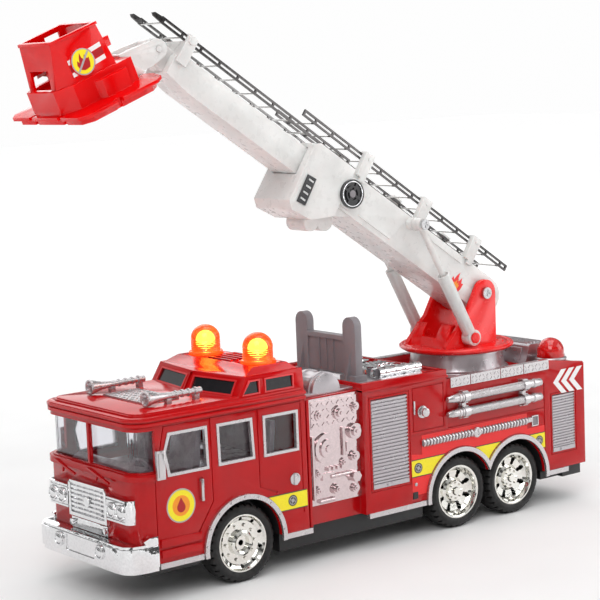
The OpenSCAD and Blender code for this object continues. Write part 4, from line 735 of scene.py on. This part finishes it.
MOULD_LOW, MOULD_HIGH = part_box("side_mouldings")
RIB_X0 = (MOULD_LOW.x - AXLE_X) / MM + 9.6
RIB_X1 = (MOULD_HIGH.x - AXLE_X) / MM
RIB_Z = 52.6
RIB_COUNT = 34
ribs, rib_core = Shape(), Shape()
rib_pitch = (RIB_X1 - RIB_X0) / RIB_COUNT
for side in (1, -1):
    at = along_x(side, RIB_X0, SIDE_Y - 0.4, RIB_Z)
    for k in range(RIB_COUNT):
        h = k * rib_pitch
        ribs.lathe([(1.6, h + 0.2), (2.2, h + 0.35), (2.45, h + 0.75), (2.45, h + 1.35), (2.2, h + 1.75),
                    (1.6, h + 1.9)], 20, at)
    rib_core.lathe([(1.7, 0), (1.7, RIB_X1 - RIB_X0)], 20, at)
    plane = wall(side, SIDE_Y)
    ribs.block((RIB_X0 - 3.4, 51.6, 0), (RIB_X0 - 0.2, 54.4, 1.5), plane, 0.3)
    ribs.lathe([(2.9, 0), (2.9, 1.7), (2.5, 2.0), (1.6, 2.0), (1.5, 1.6)], 28,
               plane @ Matrix.Translation((-162, RIB_Z, 0)))
    frame_x = RIB_X0 - 9.2
    rib_core.block((frame_x + 0.7, 49.5, 0), (frame_x + 4.5, 54.3, 0.4), plane, 0.1)
    for a, b in (((0, 48.8), (5.2, 49.5)), ((0, 54.3), (5.2, 55)), ((0, 49.5), (0.7, 54.3)),
                 ((4.5, 49.5), (5.2, 54.3))):
        ribs.block((frame_x + a[0], a[1], 0), (frame_x + b[0], b[1], 0.8), plane, 0.12)
rib_piece = ribs.piece("side_hose_ribs", TRUCK, "truck", BRIGHT_SILVER, "grey_plastic")
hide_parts("side_mouldings")
rib_core.piece("side_hose_core", TRUCK, "truck", GREY, "grey_plastic")

# ---------- boom decals and fittings ----------

BOOM_BODY = BODY_OF["outer_boom"]
BOOM_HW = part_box("boom_fittings")[1].y / MM
KNOB = (116, -0.4)
VENT_X = 144
knob_metal, knob_hub, vent_slots = Shape(), Shape(), Shape()
for side in (1, -1):
    plane = wall(side, BOOM_HW - 0.95)
    at = plane @ Matrix.Translation((KNOB[0], KNOB[1], 0))
    knob_metal.ring(3.7, 4.35, 0, 0.5, 36, at)
    knob_metal.ring(6.5, 7.0, 0.3, 1.0, 40, at)
    for k in range(4):
        spoke = at @ Matrix.Rotation(math.tau * k / 4, 4, "Z")
        knob_metal.block((2.2, -0.5, 0.1), (6.6, 0.5, 0.75), spoke, 0.15)
    knob_hub.lathe([(2.1, 0), (2.1, 0.9), (1.7, 1.1), (0.5, 1.1)], 24, at)
    slots = wall(side, BOOM_HW - 0.75)
    for k in range(4):
        z = -20 + 3.7 * k
        vent_slots.block((VENT_X - 1.7, z, 0), (VENT_X + 1.9, z + 1.1, 0.14), slots, 0.05)
knob_metal.piece("knob_rings", BOOM, BOOM_BODY, CHROME, "chrome_plastic")
knob_hub.piece("knob_hubs", BOOM, BOOM_BODY, GREY, "grey_plastic")
vent_slots.piece("vent_slots", BOOM, BOOM_BODY, WHITE, "white_plastic")


def flame(cx, cy, size):
    """Outline of a plain flame with three tongues."""
    shape = [(-0.34, -0.5), (0.1, -0.56), (0.42, -0.4), (0.52, -0.08), (0.42, 0.2), (0.3, 0.02),
             (0.22, 0.3), (0.06, 0.62), (0.02, 0.28), (-0.1, 0.1), (-0.24, 0.42), (-0.34, 0.1),
             (-0.5, 0.14), (-0.46, -0.2)]
    return [(cx + size * x, cy + size * y) for x, y in shape]


def decal(name, place, body, mat, outlines, planes, lift):
    """Film of one colour on any number of planes."""
    shape = Shape()
    for plane in planes:
        for outline in outlines:
            shape.extrude(outline, -0.02, FILM_T + lift, plane)
    return shape.piece(name, place, body, mat)


BOOM_SIDES = [wall(side, 14) for side in (1, -1)]
decal("boom_flame", BOOM, BOOM_BODY, FILM_RED, [flame(20, -4, 9.6)], BOOM_SIDES, 0.0)
decal("boom_flame_core", BOOM, BOOM_BODY, FILM_ORANGE, [flame(20.2, -5.4, 4.6)], BOOM_SIDES, 0.05)

# ---------- basket decals ----------

BASKET_BODY = BODY_OF["basket"]
DISC = (48.4, 13.2)
DISC_LIFT = 1.4
WALL_LIFT = 0.55
BASKET_LEAN = math.radians(85.3)


def leaning(side, lift):
    """Plane parallel to the leaning basket wall, lift millimetres out from the disc's back."""
    out = Matrix.Rotation(-side * BASKET_LEAN, 4, "X")
    start = Matrix.Translation((DISC[0], side * 16.2, DISC[1]))
    return start @ out @ Matrix.Translation((0, 0, lift)) @ Matrix.Scale(-1 if side > 0 else 1, 4, (0, 1, 0))


DISC_PARTS = {
    "rim": (FILM_GREY, arc(0, 0, 6.5, 0, 351, 39), 0.0),
    "field": (FILM_YELLOW, arc(0, 0, 5.9, 0, 351, 39), 0.05),
    "flame": (FILM_DEEP, flame(0, 0, 7.4), 0.1),
    "bar": (FILM_GREY, [(-4.6, 3.4), (-3.9, 4.1), (4.6, -3.4), (3.9, -4.1)], 0.14),
}


def disc_parts(side):
    """Layers of the round sign on one side of the basket."""
    name = "left" if side > 0 else "right"
    on_disc = [leaning(side, DISC_LIFT)]
    for part, (mat, outline, lift) in DISC_PARTS.items():
        decal("basket_disc_" + part + "_" + name, BASKET, BASKET_BODY, mat, [outline], on_disc, lift)


def basket_stripes(side):
    """Two pale stripes behind the disc, with a darker band between them."""
    name = "left" if side > 0 else "right"
    on_wall = [leaning(side, WALL_LIFT)]
    decal("basket_stripes_" + name, BASKET, BASKET_BODY, FILM_WHITE,
          [[(-13, v), (-13, v + 2.2), (7.6, v + 0.5), (7.6, v - 1.7)] for v in (2.9, -3.4)], on_wall, 0.0)
    decal("basket_band_" + name, BASKET, BASKET_BODY, FILM_DEEP,
          [[(-13, -0.7), (-13, 2.4), (7.6, 0.7), (7.6, -2.4)]], on_wall, 0.0)


for side in (1, -1):
    disc_parts(side)
    basket_stripes(side)

# ---------- stage, light and camera ----------


def stage():
    floor_mesh = bpy.data.meshes.new("floor")
    size = 5.0
    corners = [(-size, -size, 0), (size, -size, 0), (size, size, 0), (-size, size, 0)]
    floor_mesh.from_pydata(corners, [], [(0, 1, 2, 3)])
    floor = bpy.data.objects.new("floor", floor_mesh)
    bpy.context.scene.collection.objects.link(floor)
    s = Shader("studio_floor", Specular_IOR_Level=0.2)
    s.tint(s.noise(8, 2), (0.86, 0.86, 0.86), (0.9, 0.9, 0.9))
    s.rough(s.noise(30, 2), 0.5, 0.6)
    reach = s.add("ShaderNodeVectorMath", operation="LENGTH")
    s.link(s.where, reach.inputs[0])
    s.set("Emission_Color", (1.0, 1.0, 1.0))
    s.link(s.spread(reach.outputs["Value"], 0.0, 0.62, 0.3, 1.7), s.bsdf.inputs["Emission Strength"])
    floor_mesh.materials.append(s.mat)


def sky():
    """Banded surround that shapes the reflections; the camera itself sees a plain white one."""
    world = bpy.data.worlds.new("studio")
    bpy.context.scene.world = world
    world.use_nodes = True
    tree = world.node_tree
    back = tree.nodes["Background"]
    coord = tree.nodes.new("ShaderNodeTexCoord")
    split = tree.nodes.new("ShaderNodeSeparateXYZ")
    ramp = tree.nodes.new("ShaderNodeValToRGB")
    bands = [(0.0, 0.35), (0.49, 0.4), (0.51, 0.1), (0.55, 0.06), (0.58, 0.5), (0.66, 0.62), (0.7, 0.08),
             (0.76, 0.05), (0.8, 0.55), (1.0, 0.65)]
    points = ramp.color_ramp.elements
    points[0].position = bands[0][0]
    points[1].position = bands[-1][0]
    for place, _ in bands[1:-1]:
        points.new(place)
    for point, (_, level) in zip(points, bands):
        point.color = (level, level, level, 1)
    half = tree.nodes.new("ShaderNodeMapRange")
    half.inputs["From Min"].default_value = -1
    tree.links.new(coord.outputs["Generated"], split.inputs["Vector"])
    tree.links.new(split.outputs["Z"], half.inputs["Value"])
    tree.links.new(half.outputs["Result"], ramp.inputs["Fac"])
    seen = tree.nodes.new("ShaderNodeLightPath")
    pick = tree.nodes.new("ShaderNodeMix")
    pick.data_type = "RGBA"
    factor, banded, plain = (pick.inputs[i] for i in (0, 6, 7))
    plain.default_value = (1.1, 1.1, 1.1, 1)
    tree.links.new(seen.outputs["Is Camera Ray"], factor)
    tree.links.new(ramp.outputs["Color"], banded)
    tree.links.new(pick.outputs[2], back.inputs["Color"])
    back.inputs["Strength"].default_value = 0.9


def soft_light(name, place, aim, size, power, tint=(1, 1, 1)):
    data = bpy.data.lights.new(name, "AREA")
    data.shape = "RECTANGLE"
    data.size, data.size_y = size
    data.energy = power
    data.color = tint
    light = bpy.data.objects.new(name, data)
    light.location = place
    light.rotation_euler = (Vector(aim) - Vector(place)).to_track_quat("-Z", "Y").to_euler()
    bpy.context.scene.collection.objects.link(light)


def camera():
    """Long lens, low and to the front left, tipped slightly."""
    data = bpy.data.cameras.new("camera")
    data.lens = 109.13
    data.sensor_width = 36
    data.clip_start = 0.05
    data.clip_end = 20
    cam = bpy.data.objects.new("camera", data)
    azimuth, elevation, roll = math.radians(142.08), math.radians(7.48), math.radians(-2.33)
    toward = Vector((-math.cos(elevation) * math.sin(azimuth), math.cos(elevation) * math.cos(azimuth),
                     -math.sin(elevation)))
    turn = toward.to_track_quat("-Z", "Y").to_matrix().to_4x4() @ Matrix.Rotation(roll, 4, "Z")
    cam.matrix_world = Matrix.Translation((AXLE_X + 0.5279, 0.7731, 0.2624)) @ turn
    bpy.context.scene.collection.objects.link(cam)
    bpy.context.scene.camera = cam


stage()
sky()
soft_light("key", (0.9, 0.9, 1.1), (0, 0, 0.1), (0.9, 0.9), 8.5)
soft_light("top", (-0.1, 0.1, 1.3), (0, 0, 0.1), (1.2, 0.8), 7)
soft_light("fill", (-0.9, 0.7, 0.5), (-0.05, 0, 0.1), (0.8, 0.8), 4)
soft_light("rear", (-0.4, -1.1, 0.8), (0, 0, 0.12), (1.0, 0.8), 4)
camera()
bpy.context.scene.view_settings.view_transform = "Standard"
